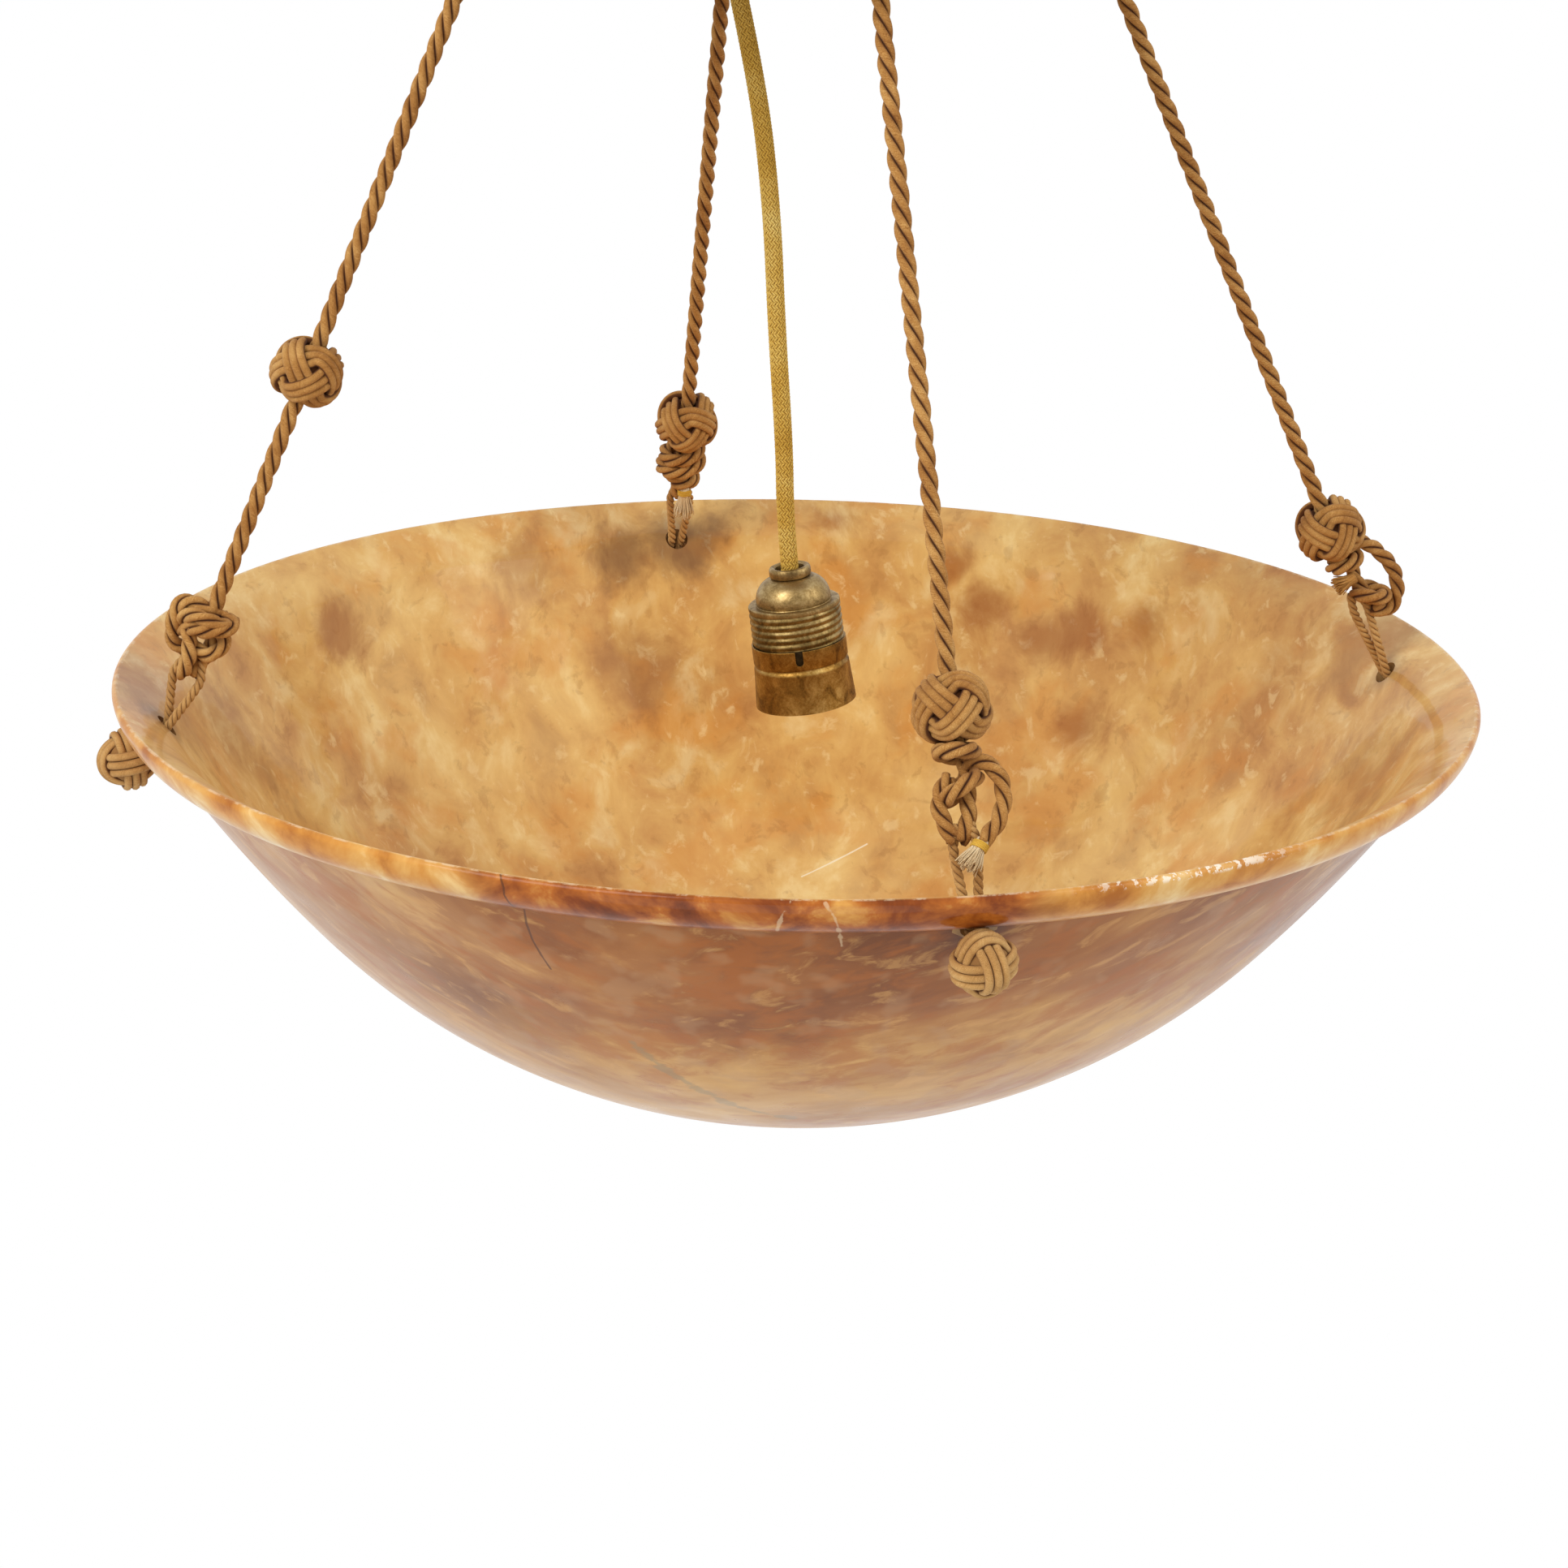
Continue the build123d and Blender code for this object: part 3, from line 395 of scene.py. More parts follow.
def drawn_line(points, width, soft=1.0):
    """1 on a line through these places, 0 past its half width."""
    nearest = None
    for a, b in zip(points, points[1:]):
        a, b = Vector(a), Vector(b)
        step = b - a
        from_a = vectors("SUBTRACT", at, a)[0]
        share = vectors("DOT_PRODUCT", from_a, step / step.length_squared)["Value"]
        share = calc("ADD", share, 0.0, clamp=True)
        foot = add(tree, "VectorMath", {0: step, "Scale": share}, operation="SCALE").outputs[0]
        away = vectors("DISTANCE", from_a, foot)["Value"]
        nearest = away if nearest is None else calc("MINIMUM", nearest, away)
    uneven = plus(nearest, calc("SUBTRACT", flecks, 0.5), width * soft)
    return spread(uneven, width * 0.2, width * 0.6, 1.0, 0.0)


# The inside: honey to cream, with orange and brown blotches, and mauve ones near the rim.
inside = ramp(patches, [
    (0.30, (170, 114, 62)), (0.42, (200, 148, 84)), (0.52, (221, 175, 103)), (0.64, (236, 200, 130))])
veined = ramp(mottle, [
    (0.30, (166, 108, 58)), (0.43, (204, 150, 84)), (0.55, (225, 181, 108)), (0.68, (246, 222, 162))])
inside = mixed(0.5, inside, veined)
inside = tinted(inside, spread(warmth, 0.5, 0.66), 0.45, (212, 140, 58))
inside = tinted(inside, spread(flecks, 0.56, 0.7), 0.4, (244, 218, 160))
inside = tinted(inside, spread(flecks, 0.44, 0.32), 0.25, (150, 94, 44))
brown_places = [  # strong blotches on the far wall, and their reach
    ((0.1389, 0.2075, -0.3878), 0.019), ((0.1689, 0.1929, -0.3794), 0.019),
    ((0.0927, 0.2346, -0.3832), 0.020), ((0.0772, 0.2505, -0.369), 0.016),
    ((0.1235, 0.2106, -0.3948), 0.018), ((-0.212, 0.1426, -0.3712), 0.022),
    ((0.1372, 0.1692, -0.4272), 0.022), ((0.0211, 0.2767, -0.3511), 0.018),
]
inside = tinted(inside, most([near(*b) for b in brown_places]), 0.6, (150, 82, 34))
mauve_places = [
    ((-0.1339, 0.2261, -0.3625), 0.030), ((-0.0746, 0.2167, -0.4093), 0.034),
    ((-0.272, -0.03, -0.355), 0.055), ((0.262, 0.085, -0.355), 0.050),
    ((0.235, 0.0, -0.385), 0.060), ((-0.245, 0.02, -0.375), 0.040),
]
inside = tinted(inside, most([near(*b) for b in mauve_places]), 0.42, (156, 112, 72))
scratch_places = ((0.0042, 0.1389, -0.4909), (0.0205, 0.147, -0.4855), (0.0354, 0.1538, -0.4797))
scratch = drawn_line(scratch_places, 0.0011, 0.6)
inside = tinted(inside, scratch, 0.7, (250, 240, 214))

# The lip's outside: amber, and nearly brown along the front.
lip_dark = ramp(mottle, [
    (0.32, (78, 30, 6)), (0.46, (132, 62, 14)), (0.56, (176, 98, 32)), (0.68, (222, 166, 84))])
lip_pale = ramp(mottle, [
    (0.32, (172, 102, 34)), (0.45, (206, 140, 60)), (0.56, (220, 166, 88)), (0.68, (240, 208, 146))])
to_front = spread(plus(y_part, patches, 0.10), -0.17, -0.09, 1.0, 0.0)
from_left = spread(plus(x_part, warmth, 0.10), -0.11, -0.05)
to_right = spread(plus(x_part, patches, 0.10), 0.115, 0.165, 1.0, 0.0)
lip = mixed(times(times(to_front, to_right), from_left), lip_pale, lip_dark)

# The outer wall: brown under the lip and tan towards the foot and the left, with slanting dashes, and painted
# shade over its right flank.
upper = ramp(drifts, [
    (0.32, (118, 64, 22)), (0.46, (146, 86, 36)), (0.58, (168, 108, 52)), (0.7, (198, 144, 78))])
lower = ramp(drifts, [(0.34, (174, 118, 54)), (0.5, (200, 146, 76)), (0.66, (220, 172, 100))])
tan = ramp(drifts, [(0.34, (186, 132, 78)), (0.5, (210, 160, 100)), (0.66, (226, 184, 122))])
to_foot = spread(plus(z_part, mottle, 0.07), -0.42, -0.375, 1.0, 0.0)
outer = mixed(to_foot, upper, lower)
to_left = spread(plus(x_part, patches, 0.12), -0.13, -0.02, 1.0, 0.0)
outer = mixed(times(to_left, 0.85), outer, tan)
# Painted shade: the right flank, turned away from the key light, darkened.
painted_right_shade = spread(plus(x_part, patches, 0.10), 0.17, 0.28)
outer = tinted(outer, painted_right_shade, 0.45, (126, 80, 42))
orange = spread(plus(times(dashes, 0.55), warmth, 0.45), 0.47, 0.6)
outer = tinted(outer, orange, 0.6, (172, 96, 26))
outer = tinted(outer, spread(dashes, 0.46, 0.32), 0.45, (220, 166, 96))
outer = tinted(outer, spread(clouds, 0.54, 0.68), 0.3, (188, 146, 104))
outer_line = np.array(outline[crest_index:])


def on_wall(depth, degrees):
    """The place on the outer wall this far below the rim, at this azimuth."""
    radius = float(np.interp(depth, -outer_line[:, 1], outer_line[:, 0]))
    angle = math.radians(degrees)
    return bowl_place @ Vector((radius * math.cos(angle), radius * math.sin(angle), -depth))


pale_veins = [
    ((0.0005, -90.4), (0.005, -90.9), (0.009, -91.1), (0.013, -91.3), (0.018, -91.3)),
    ((0.001, -87.9), (0.006, -87.3), (0.010, -87.0), (0.014, -86.8), (0.0183, -86.6), (0.026, -86.3)),
]
veins = [drawn_line([on_wall(*p) for p in places], 0.0013, 3.0) for places in pale_veins]
grey_vein = drawn_line([(-0.0613, -0.2094, -0.4329), (-0.0493, -0.1971, -0.4492), (-0.0345, -0.1844, -0.4639),
                        (-0.0229, -0.173, -0.4748), (-0.0002, -0.1575, -0.4871)], 0.005, 2.4)
outer = tinted(outer, grey_vein, 0.5, (146, 128, 92))

colour = mixed(outside, inside, lip)
colour = mixed(below_lip, colour, outer)
colour = tinted(colour, most(veins), 0.45, (232, 206, 166))
crack = drawn_line([on_wall(*p) for p in (
    (0.0002, -111.8), (0.0023, -111.6), (0.005, -111.5), (0.008, -111.6), (0.011, -111.5), (0.014, -111.4),
    (0.0175, -111.5), (0.019, -111.55), (0.027, -111.9), (0.036, -112.0), (0.044, -111.8), (0.051, -111.5),
)], 0.0011, 0.8)
colour = tinted(colour, crack, 0.75, (84, 46, 22))

# Wear: a paler crest, chips along its right front, and stains round the holes.
crest = times(spread(along, crest_at - 0.0012, crest_at - 0.0005),
              spread(along, crest_at + 0.0014, crest_at + 0.0008))
worn = times(crest, spread(noise(at, 160.0, 4.0, 0.7), 0.47, 0.6))
chips = times(near((0.150, -0.249, -0.3455), 0.06, 0.2),
              spread(noise(at, 320.0, 3.0, 0.7), 0.5, 0.56))
chips = times(chips, times(spread(along, crest_at - 0.0016, crest_at - 0.0008),
                           spread(along, crest_at + 0.0045, crest_at + 0.0025)))
colour = tinted(colour, worn, 0.45, (232, 208, 172))
colour = tinted(colour, chips, 0.85, (250, 240, 222))
stains = [near(mouth, 0.030 if name == "back" else 0.017) for name, (mouth, _) in holes.items()]
stains.append(near((-0.085, 0.252, -0.3605), 0.026))
colour = tinted(colour, most(stains), 0.62, (104, 76, 58))
dull = spread(mottle, 0.3, 0.7, 0.42, 0.26, "LINEAR")
waves = bump(noise(at, 20.0, 2.0, 0.5), 0.25, 0.004)
pits = calc("SUBTRACT", noise(at, 210.0, 4.0, 0.6), times(crack, 1.5))
relief = bump(pits, 0.10, 0.0007, Normal=waves)
wire(surface, Base_Color=colour, Roughness=dull, Normal=relief, Coat_Normal=waves)
bowl.data.materials.append(stone)
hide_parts("bowl")
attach(bowl, "bowl")

# ---- Suspension ropes ----
# Four taut ropes of three loosely laid, left-handed strands of long golden plant fibre, 7.2 mm
# thick, each from its hitch straight up through its slide knot into the canopy.
rope_diameter = 0.0072
rope_lay = 0.027
rope_ends = {  # hitch foot, direction up, knot seat in the canopy
    "right": ((0.25155, 0.0532, -0.33394), (-0.38758, -0.08196, 0.91819), (0.11828, 0.02501, -0.0182)),
    "back": ((-0.056, 0.25246, -0.33502), (0.08608, -0.38802, 0.91762), (-0.02628, 0.11848, -0.0182)),
    "left": ((-0.25264, -0.054, -0.33315), (0.3894, 0.08323, 0.9173), (-0.11895, -0.02542, -0.0182)),
    "front": ((0.06405, -0.25154, -0.33814), (-0.09795, 0.38469, 0.91783), (0.0299, -0.11744, -0.0182)),
}
hitch_length = {"right": 0.0285, "back": 0.0353, "left": 0.035, "front": 0.0397}


def centreline(points):
    """The open curve that these control points pull, as a polyline."""
    curve = bpy.data.curves.new("line", "CURVE")
    curve.dimensions = "3D"
    curve.resolution_u = 16
    spline = curve.splines.new("NURBS")
    spline.points.add(len(points) - 1)
    for point, place in zip(spline.points, points):
        point.co = (*place, 1.0)
    spline.order_u = 3
    spline.use_endpoint_u = True
    holder = in_scene("line", curve)
    mesh = evaluated(holder)
    line = np.array([v.co[:] for v in mesh.vertices])
    bpy.data.objects.remove(holder)
    bpy.data.meshes.remove(mesh)
    return line


def even(line, step):
    """The polyline with points at even steps along it, and their distances."""
    line = np.asarray(line, float)
    gone = distances(line)
    count = max(2, int(round(gone[-1] / step)) + 1)
    at = np.linspace(0, gone[-1], count)
    return np.stack([np.interp(at, gone, line[:, i]) for i in range(3)], axis=1), at


def unit(rows):
    return rows / np.linalg.norm(rows, axis=-1, keepdims=True)


def frames_of(line, closed=False):
    """Tangents of a polyline, and two directions across it that don't turn about it."""
    if closed:
        tangent = np.roll(line, -1, axis=0) - np.roll(line, 1, axis=0)
    else:
        tangent = np.gradient(line, axis=0)
    tangent = unit(tangent)
    side = np.cross(tangent[0], (0.31, 0.87, 0.39))
    sides = []
    for t in tangent:
        side = unit(side - t * (side @ t))
        sides.append(side)
    sides = np.array(sides)
    return tangent, sides, np.cross(tangent, sides)


def strands(line, diameter, lay, count=3, thickness=0.475, step=None, phase=0.0):
    """Left-handed strands laid round a centreline."""
    line, gone = even(line, step or lay / 20)
    _, side, across = frames_of(line)
    radius = diameter * thickness / 2
    reach = diameter / 2 - radius
    turned = []
    for k in range(count):
        angle = -math.tau * gone / lay + math.tau * k / count + phase
        turned.append(line + reach * (np.cos(angle)[:, None] * side + np.sin(angle)[:, None] * across))
    return [(points, radius, line) for points in turned]


def tubes(name, lines, sides=10, twist=900.0, closed=False, normals=None):
    """One mesh of tubes along (polyline, radius, heart). The heart is the line or place that a tube is
    wound round. The finish reads two layers: fibre, its direction, and crown, how far it stands out."""
    vertices, faces, fibre, crown = [], [], [], []
    for number, (line, radius, heart) in enumerate(lines):
        line = np.asarray(line, float)
        count = len(line)
        radius = np.broadcast_to(radius, (count,))
        tangent, side, across = frames_of(line, closed)
        if normals is not None:
            side = unit(normals[number] - tangent * np.sum(normals[number] * tangent, axis=1)[:, None])
            across = np.cross(tangent, side)
        gone = distances(line)
        first = len(vertices)
        for i in range(count):
            for k in range(sides):
                angle = math.tau * k / sides
                out = math.cos(angle) * side[i] + math.sin(angle) * across[i]
                vertices.append(line[i] + radius[i] * out)
                turned = angle + twist * gone[i]
                fibre.append((math.cos(turned), math.sin(turned), gone[i] + number * 0.37))
        hearts = np.repeat(np.broadcast_to(heart, (count, 3)), sides, axis=0)
        away = np.linalg.norm(np.array(vertices[first:]) - hearts, axis=1)
        crown += list(1 - (np.percentile(away, 98) - away) / radius[0])
        for i in range(count if closed else count - 1):
            a, b = first + i * sides, first + (i + 1) % count * sides
            for k in range(sides):
                n = (k + 1) % sides
                faces.append((a + k, a + n, b + n, b + k))
        if not closed:
            for i, way in ((0, -1), (count - 1, 1)):
                tip = len(vertices)
                vertices.append(line[i] + way * tangent[i] * radius[i] * 0.45)
                fibre.append((0, 0, gone[i]))
                crown.append(1.0)
                ring = first + i * sides
                for k in range(sides):
                    n = (k + 1) % sides
                    faces.append((tip, ring + n, ring + k) if way < 0 else (tip, ring + k, ring + n))
    mesh = bpy.data.meshes.new(name)
    mesh.from_pydata([tuple(v) for v in vertices], [], faces)
    layer = mesh.attributes.new("fibre", "FLOAT_VECTOR", "POINT")
    layer.data.foreach_set("vector", np.array(fibre, float).ravel())
    layer = mesh.attributes.new("crown", "FLOAT", "POINT")
    layer.data.foreach_set("value", np.array(crown, float))
    mesh.shade_smooth()
    return in_scene(name, mesh)


no_groove_shade = (-90, -99)


def fibrous(name, dark, middle, pale, relief=0.0005, groove_shade_and_dirt=(84, 42, 12), depth=(0.62, 0.12)):
    """Finish of plant fibre along its strands, with painted shade where they dip and painted shade and dirt
    in the grooves between them. Depth is the crown where the grooves' darkening starts and is full.
    """
    made, tree, surface = finish_of(name, Roughness=0.75, Specular_IOR_Level=0.2, Sheen_Weight=0.05)
    fibre = add(tree, "Attribute", attribute_name="fibre").outputs["Vector"]
    hairs = noise(vectors("MULTIPLY", fibre, (4.0, 4.0, 60.0))[0], 1.6, 5.0, 0.65, 0.3)
    patches = noise(add(tree, "TexCoord").outputs["Object"], 55.0, 4.0, 0.6)
    tone = plus(times(hairs, 0.62), patches, 0.38)
    crown = add(tree, "Attribute", attribute_name="crown").outputs["Fac"]
    colour = ramp(tone, [(0.36, dark), (0.5, middle), (0.62, pale)])
    # Painted shade: strands darkened away from their crown, to give them volume.
    colour = tinted(colour, spread(crown, depth[0] + 0.4, depth[1] + 0.1), 0.35, dark)
    # Painted shade and dirt: the grooves between strands darkened towards the dark colour given for them.
    colour = tinted(colour, spread(crown, *depth), 0.92, groove_shade_and_dirt)
    wire(surface, Base_Color=colour, Normal=bump(hairs, 0.8, relief))
    return made


rope_finish = fibrous("rope_fibre", (128, 76, 28), (188, 132, 66), (228, 182, 112))
for name, (foot, up, seat) in rope_ends.items():
    foot, up, seat = (np.array(v) for v in (foot, up, seat))
    start = foot + up * (hitch_length[name] - 0.004)
    line = centreline([start, start + up * 0.04, seat - up * 0.04, seat])
    rope = tubes(f"{name}_rope_strands", strands(line, rope_diameter, rope_lay), 12)
    rope.data.materials.append(rope_finish)
    path, gone = even(line, 0.004)
    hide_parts(f"{name}_rope")
    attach(rope, f"{name}_rope")

# ---- Slide knots ----
# A woven ball of three side-by-side turns of thin cord round each rope, 31 mm wide and 25 mm
# high, that slides on it. Three rest on their hitches and the left one sits higher.
ball_size = (0.0128, 0.0126)
knot_cord = 0.0036
bore, heart_radius, heart_half = 0.0039, 0.0112, 0.0098
slide_knot_lift = {"right": 0.0003, "back": 0.0003, "left": 0.0915, "front": 0.0003}


def woven_ball(name, centre, up, facing, size, cord):
    """Closed plait over a ball: size is its radii across and along the axis, to the cord's middle."""
    bights, leads, passes = 4, 3, 3
    highest, weave = math.radians(46), 0.0013
    up = unit(np.array(up, float))
    side = unit(np.array(facing, float) - up * np.dot(facing, up))
    across = np.cross(up, side)
    count = 96 * leads
    t = np.linspace(0, math.tau * leads, count, endpoint=False)
    latitude = highest * np.cos(bights * t / leads)
    over = weave * np.sin(2 * bights * t / leads)

    def surface_at(longitude, latitude, lift):
        reach = (size[0] + lift) * np.cos(latitude)
        out = np.cos(longitude)[:, None] * side + np.sin(longitude)[:, None] * across
        return centre + reach[:, None] * out + ((size[1] + lift) * np.sin(latitude))[:, None] * up

    base = surface_at(t, latitude, over)
    heading = unit(np.roll(base, -1, axis=0) - np.roll(base, 1, axis=0))
    outward = unit(base - centre)
    lateral = np.cross(outward, heading)
    lines, normals = [], []
    for k in range(passes):
        shift = (k - (passes - 1) / 2) * cord * 0.98
        moved = base + lateral * shift
        out = moved - centre
        flat = np.sqrt((out @ side) ** 2 + (out @ across) ** 2) / size[0]
        tall = (out @ up) / size[1]
        scale = 1 / np.sqrt(flat**2 + tall**2)
        moved = centre + out * scale[:, None] + outward * over[:, None]
        lines.append((moved, cord / 2, moved - outward * cord))
        normals.append(outward)
    return tubes(name, lines, 10, 1400.0, closed=True, normals=normals)


for name, (foot, up, seat) in rope_ends.items():
    foot, up = np.array(foot), np.array(up)
    middle = foot + up * (hitch_length[name] + slide_knot_lift[name] + 0.0125)
    knot = woven_ball(f"{name}_slide_knot_plait", middle, up, (0.2, -1, 0), ball_size, knot_cord)
    ring = [(heart_radius * math.cos(a), heart_radius * math.sin(a)) for a in np.linspace(-1.06, 1.06, 14)]
    ring = [(bore, -heart_half), *ring, (bore, heart_half)]
    stand = Matrix.Translation(middle) @ Vector(up).to_track_quat("Z", "Y").to_matrix().to_4x4()
    heart = lathe(f"{name}_slide_knot_heart", ring, 48, stand, closed=True)
    for piece in (knot, heart):
        piece.data.materials.append(rope_finish)
        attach(piece, f"{name}_slide_knot")
    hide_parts(f"{name}_slide_knot")

# ---- Hitches ----
# Under each slide knot the rope's own end is turned back round the rope and the hanger loop.
# The front and right ones are left with an open loop, the left one is a loose bow.
knot_side = np.array((0, -0.948, 0.318))
hitch_turns = {  # centre, radius and tilt of each turn, in millimetres and degrees
    "right": [((0.9, 0, 24.5), 5.8, 4), ((6.3, 2, 6.4), 6.6, 32)],
    "back": [((-1.2, 0, 30.0), 8.4, -11), ((-1.2, 0, 23.4), 9.4, -11), ((0.6, 0, 14.0), 5.0, 4)],
    "left": [],
    "front": [((0, 0, 36.0), 6.4, 8), ((0.4, 0, 22.4), 6.8, -27)],
}
hitch_leads = {  # places of (across, towards the knots' side, up) in millimetres from the hitch's foot
    "right": [[(3.5, -2.5, 27), (3.0, -2.0, 18), (3.5, -1, 8), (6, 0, 2)]],
    "back": [
        [(4.6, -1, 30), (4.0, -2, 22), (3, -1.5, 12), (1.5, 0, 5)],
        [(-5, 1, 28), (-4, 1.5, 20), (-1.5, 2, 11), (-1, 1, 4)],
    ],
    "left": [
        [(3, 0, 29), (-2, 2, 30.6), (-9, 4, 32.6), (-14.2, 4, 29), (-13.4, 3, 20), (-11, 1, 12.4),
         (-6, -1, 10.5), (0, -3, 11)],
        [(-9, -3, 20), (-11.4, 2, 23), (-7, 8, 27.8), (1.5, 9.6, 28.8), (9.6, 7, 27.5), (8.5, 1, 29.2),
         (3, -3, 30)],
        [(-9, 1, 19), (-5.2, 6.6, 22), (1.1, 9.4, 23.4), (8.1, 8.6, 26.9), (11.2, 3, 29), (8, -3, 30)],
        [(5, -4, 24), (9, -1, 22), (9.2, 3, 17.3), (6, 4.6, 13.4), (0, 3, 13.6), (-5, 0, 15)],
        [(-8, 2, 24.6), (-6.6, 5.4, 21.6), (-2.4, 7.4, 15.2), (-0.6, 6, 7.1), (-2.5, 2, 0.5), (-3, 0, 2)],
        [(4, -3, 30.4), (4.4, -3, 22), (4, -2, 10), (2, -1, 2)],
    ],
    "front": [
        [(3.2, -2.4, 37), (2.8, -2.6, 30), (3, -2, 20), (2, -1, 8), (-2, 0, 3)],
        [(-3.4, -1, 27), (-7.6, 0.6, 21.6), (-8.6, 1.6, 15.2), (-6.6, 1, 9), (-4, 0, 3)],
    ],
}
tail_loops = {  # places in the same way, of the open loops
    "right": [(3.5, -2, 27), (8.6, 0, 31.5), (13.8, 0, 27.5), (18.1, 0, 19), (20.4, 0, 11), (18.8, 0, 1.5),
              (13.6, 0.5, -4.6), (8.4, 1, -4.2), (4.6, 2, -0.4)],
    "front": [(1.5, -3, 30), (4.5, -1.5, 32), (9.5, 0, 31.6), (14.6, 0, 27.6), (16.6, 0, 18.6),
              (13.4, 0.5, 9), (9, 2.4, 4.4), (6, 4.4, 1.4)],
}
frayed_ends = {  # root and tip
    "right": ((2.0, 5.0, 17.4), (-8.0, 5.4, 17.0)),
    "back": ((1.8, 5.0, 12.0), (2.9, 7.4, -3.0)),
    "front": ((6.6, 4.0, 2.2), (-0.8, 7.2, -7.6)),
}


def across_rope(up):
    return unit(np.cross(up, knot_side - up * np.dot(up, knot_side)))


def knot_places(name, places):
    """Places of (across, towards the knots' side, up) in millimetres from a hitch's foot."""
    foot, up, _ = (np.array(v, float) for v in rope_ends[name])
    across = across_rope(up)
    towards = np.cross(across, up)
    return [foot + 0.001 * (u * across + n * towards + w * up) for u, n, w in places]


def rope_end(name, places, phase=0.0):
    """Strands of the rope's own end, laid a little thinner than the rope."""
    return strands(centreline(knot_places(name, places)), 0.0068, 0.024, phase=phase)


def turn_places(centre, radius, tilt):
    """Control places of one turn round the rope that starts and ends behind it."""
    lean = math.radians(-tilt)
    places = []
    for i in range(-1, 12):
        angle = math.radians(90 + 36 * i)
        u, n = radius * 1.05 * math.cos(angle), -radius * 1.05 * math.sin(angle)
        rise = 3.2 * (i - 5) / 12
        places.append((centre[0] + u * math.cos(lean), centre[1] + n, centre[2] + u * math.sin(lean) + rise))
    return places


for name in rope_ends:
    paths = [turn_places(*turn) for turn in hitch_turns[name]] + hitch_leads[name]
    laid = []
    for number, places in enumerate(paths):
        laid += rope_end(name, places, number * 0.9)
    hitch = tubes(f"{name}_hitch_turns", laid, 10)
    hitch.data.materials.append(rope_finish)
    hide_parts(f"{name}_hitch_knot")
    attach(hitch, f"{name}_rope")
for name, places in tail_loops.items():
    loop = tubes(f"{name}_tail", rope_end(name, places), 10)
    loop.data.materials.append(rope_finish)
    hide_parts(f"{name}_tail_loop")
    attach(loop, f"{name}_rope")

# ---- Frayed ends ----
# The cut ends of three of the ropes: a short tuft of loosened fibre. The front and back ones are
# pale and stand below a whipping of yellow thread, the right one is brown and has none.
hair_root, hair_tip = 0.00042, 0.00024
fine = {"relief": 0.0002, "depth": no_groove_shade}
pale_fray = fibrous("frayed_fibre", (190, 152, 100), (232, 206, 162), (250, 236, 206), **fine)
brown_fray = fibrous("brown_fibre", (122, 74, 26), (184, 128, 60), (224, 176, 104), **fine)
thread_finish = fibrous("whipping_thread", (176, 128, 34), (216, 168, 58), (236, 196, 92), **fine)
for seed, (name, ends) in enumerate(frayed_ends.items()):
    root, tip = knot_places(name, ends)
    way = tip - root
    reach = np.linalg.norm(way)
    way = way / reach
    side = unit(np.cross(way, (0.3, 0.2, 0.93)))
    across = np.cross(way, side)
    chance = random.Random(40 + seed)
    hairs = []
    for _ in range(150):
        turn = chance.uniform(0, math.tau)
        out = math.sqrt(chance.random())
        splay = out * chance.uniform(0.7, 1.3)
        direction = math.cos(turn) * side + math.sin(turn) * across
        length = reach * chance.uniform(0.78, 1.06)
        line = [root + direction * out * 0.0022,
                root + way * length * 0.4 + direction * out * 0.0026,
                root + way * length * 0.75 + direction * splay * 0.0036,
                root + way * length + direction * splay * 0.0042 + across * chance.uniform(-0.0006, 0.0006)]
        line = even(line, reach / 7)[0]
        hairs.append((line, np.linspace(hair_root, hair_tip, len(line)), root))
    tuft = tubes(f"{name}_fray", hairs, 4, 0.0)
    tuft.data.materials.append(brown_fray if name == "right" else pale_fray)
    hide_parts(f"{name}_frayed_end")
    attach(tuft, f"{name}_rope")
    if name == "right":
        continue
    a = np.linspace(0, math.tau * 4, 120)[:, None]
    wound = root + way * (0.0012 + 0.0007 * a / math.tau) + 0.0030 * (np.cos(a) * side + np.sin(a) * across)
    whipping = tubes(f"{name}_whipping", [(wound, 0.00042, root)], 8)
    whipping.data.materials.append(thread_finish)
    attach(whipping, f"{name}_rope")

# ---- Hanger loops ----
# Two legs of thinner, harder laid cord, 4 mm thick, from inside each hitch down through the
# bowl's hole to the stop knot outside.
hanger_diameter = 0.004
hanger_spread = {"right": 0.0032, "back": 0.0048, "left": 0.006, "front": 0.0046}
stop_centres = {
    "right": (0.28002, 0.05929, -0.37768), "back": (-0.06206, 0.2781, -0.37111),
    "left": (-0.27779, -0.05929, -0.36696), "front": (0.0701, -0.27672, -0.37364),
}
cord_finish = fibrous("cord_fibre", (146, 98, 48), (198, 150, 88), (224, 186, 124), 0.0003)
for name, (foot, up, _) in rope_ends.items():
    foot, up = np.array(foot), np.array(up)
    mouth, outward = (np.array(v) for v in holes[name])
    sideways = unit(np.cross(up, outward))
    across = across_rope(up) * math.copysign(1, across_rope(up) @ sideways)
    laid = []
    for side in (-1, 1):
        start = foot - up * 0.0008 + across * side * hanger_spread[name]
        bend = mouth + sideways * side * 0.0024
        down = unit(bend - start)
        leave = bend + outward * 0.0072
        inside_hitch = foot + up * 0.009 + across * side * hanger_spread[name] * 0.55
        line = centreline([inside_hitch, start + up * 0.003, start, bend - down * 0.004, bend,
                           bend + outward * 0.003, leave, np.array(stop_centres[name])])
        laid += strands(line, hanger_diameter, 0.0096, thickness=0.485, step=0.0006)
    legs = tubes(f"{name}_hanger_legs", laid, 8, 1800.0)
    legs.data.materials.append(cord_finish)
    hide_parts(f"{name}_hanger_loop")
    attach(legs, "bowl")

# ---- Stop knots ----
# Woven balls of the same cord: a large one outside the bowl under each hole, which carries it,
# and a smaller one above the canopy on each rope.
stop_radius, stop_cord, stop_core = 0.0106, 0.0034, 0.0102
top_size, top_cord, top_core = (0.0096, 0.0092), 0.0031, 0.0086


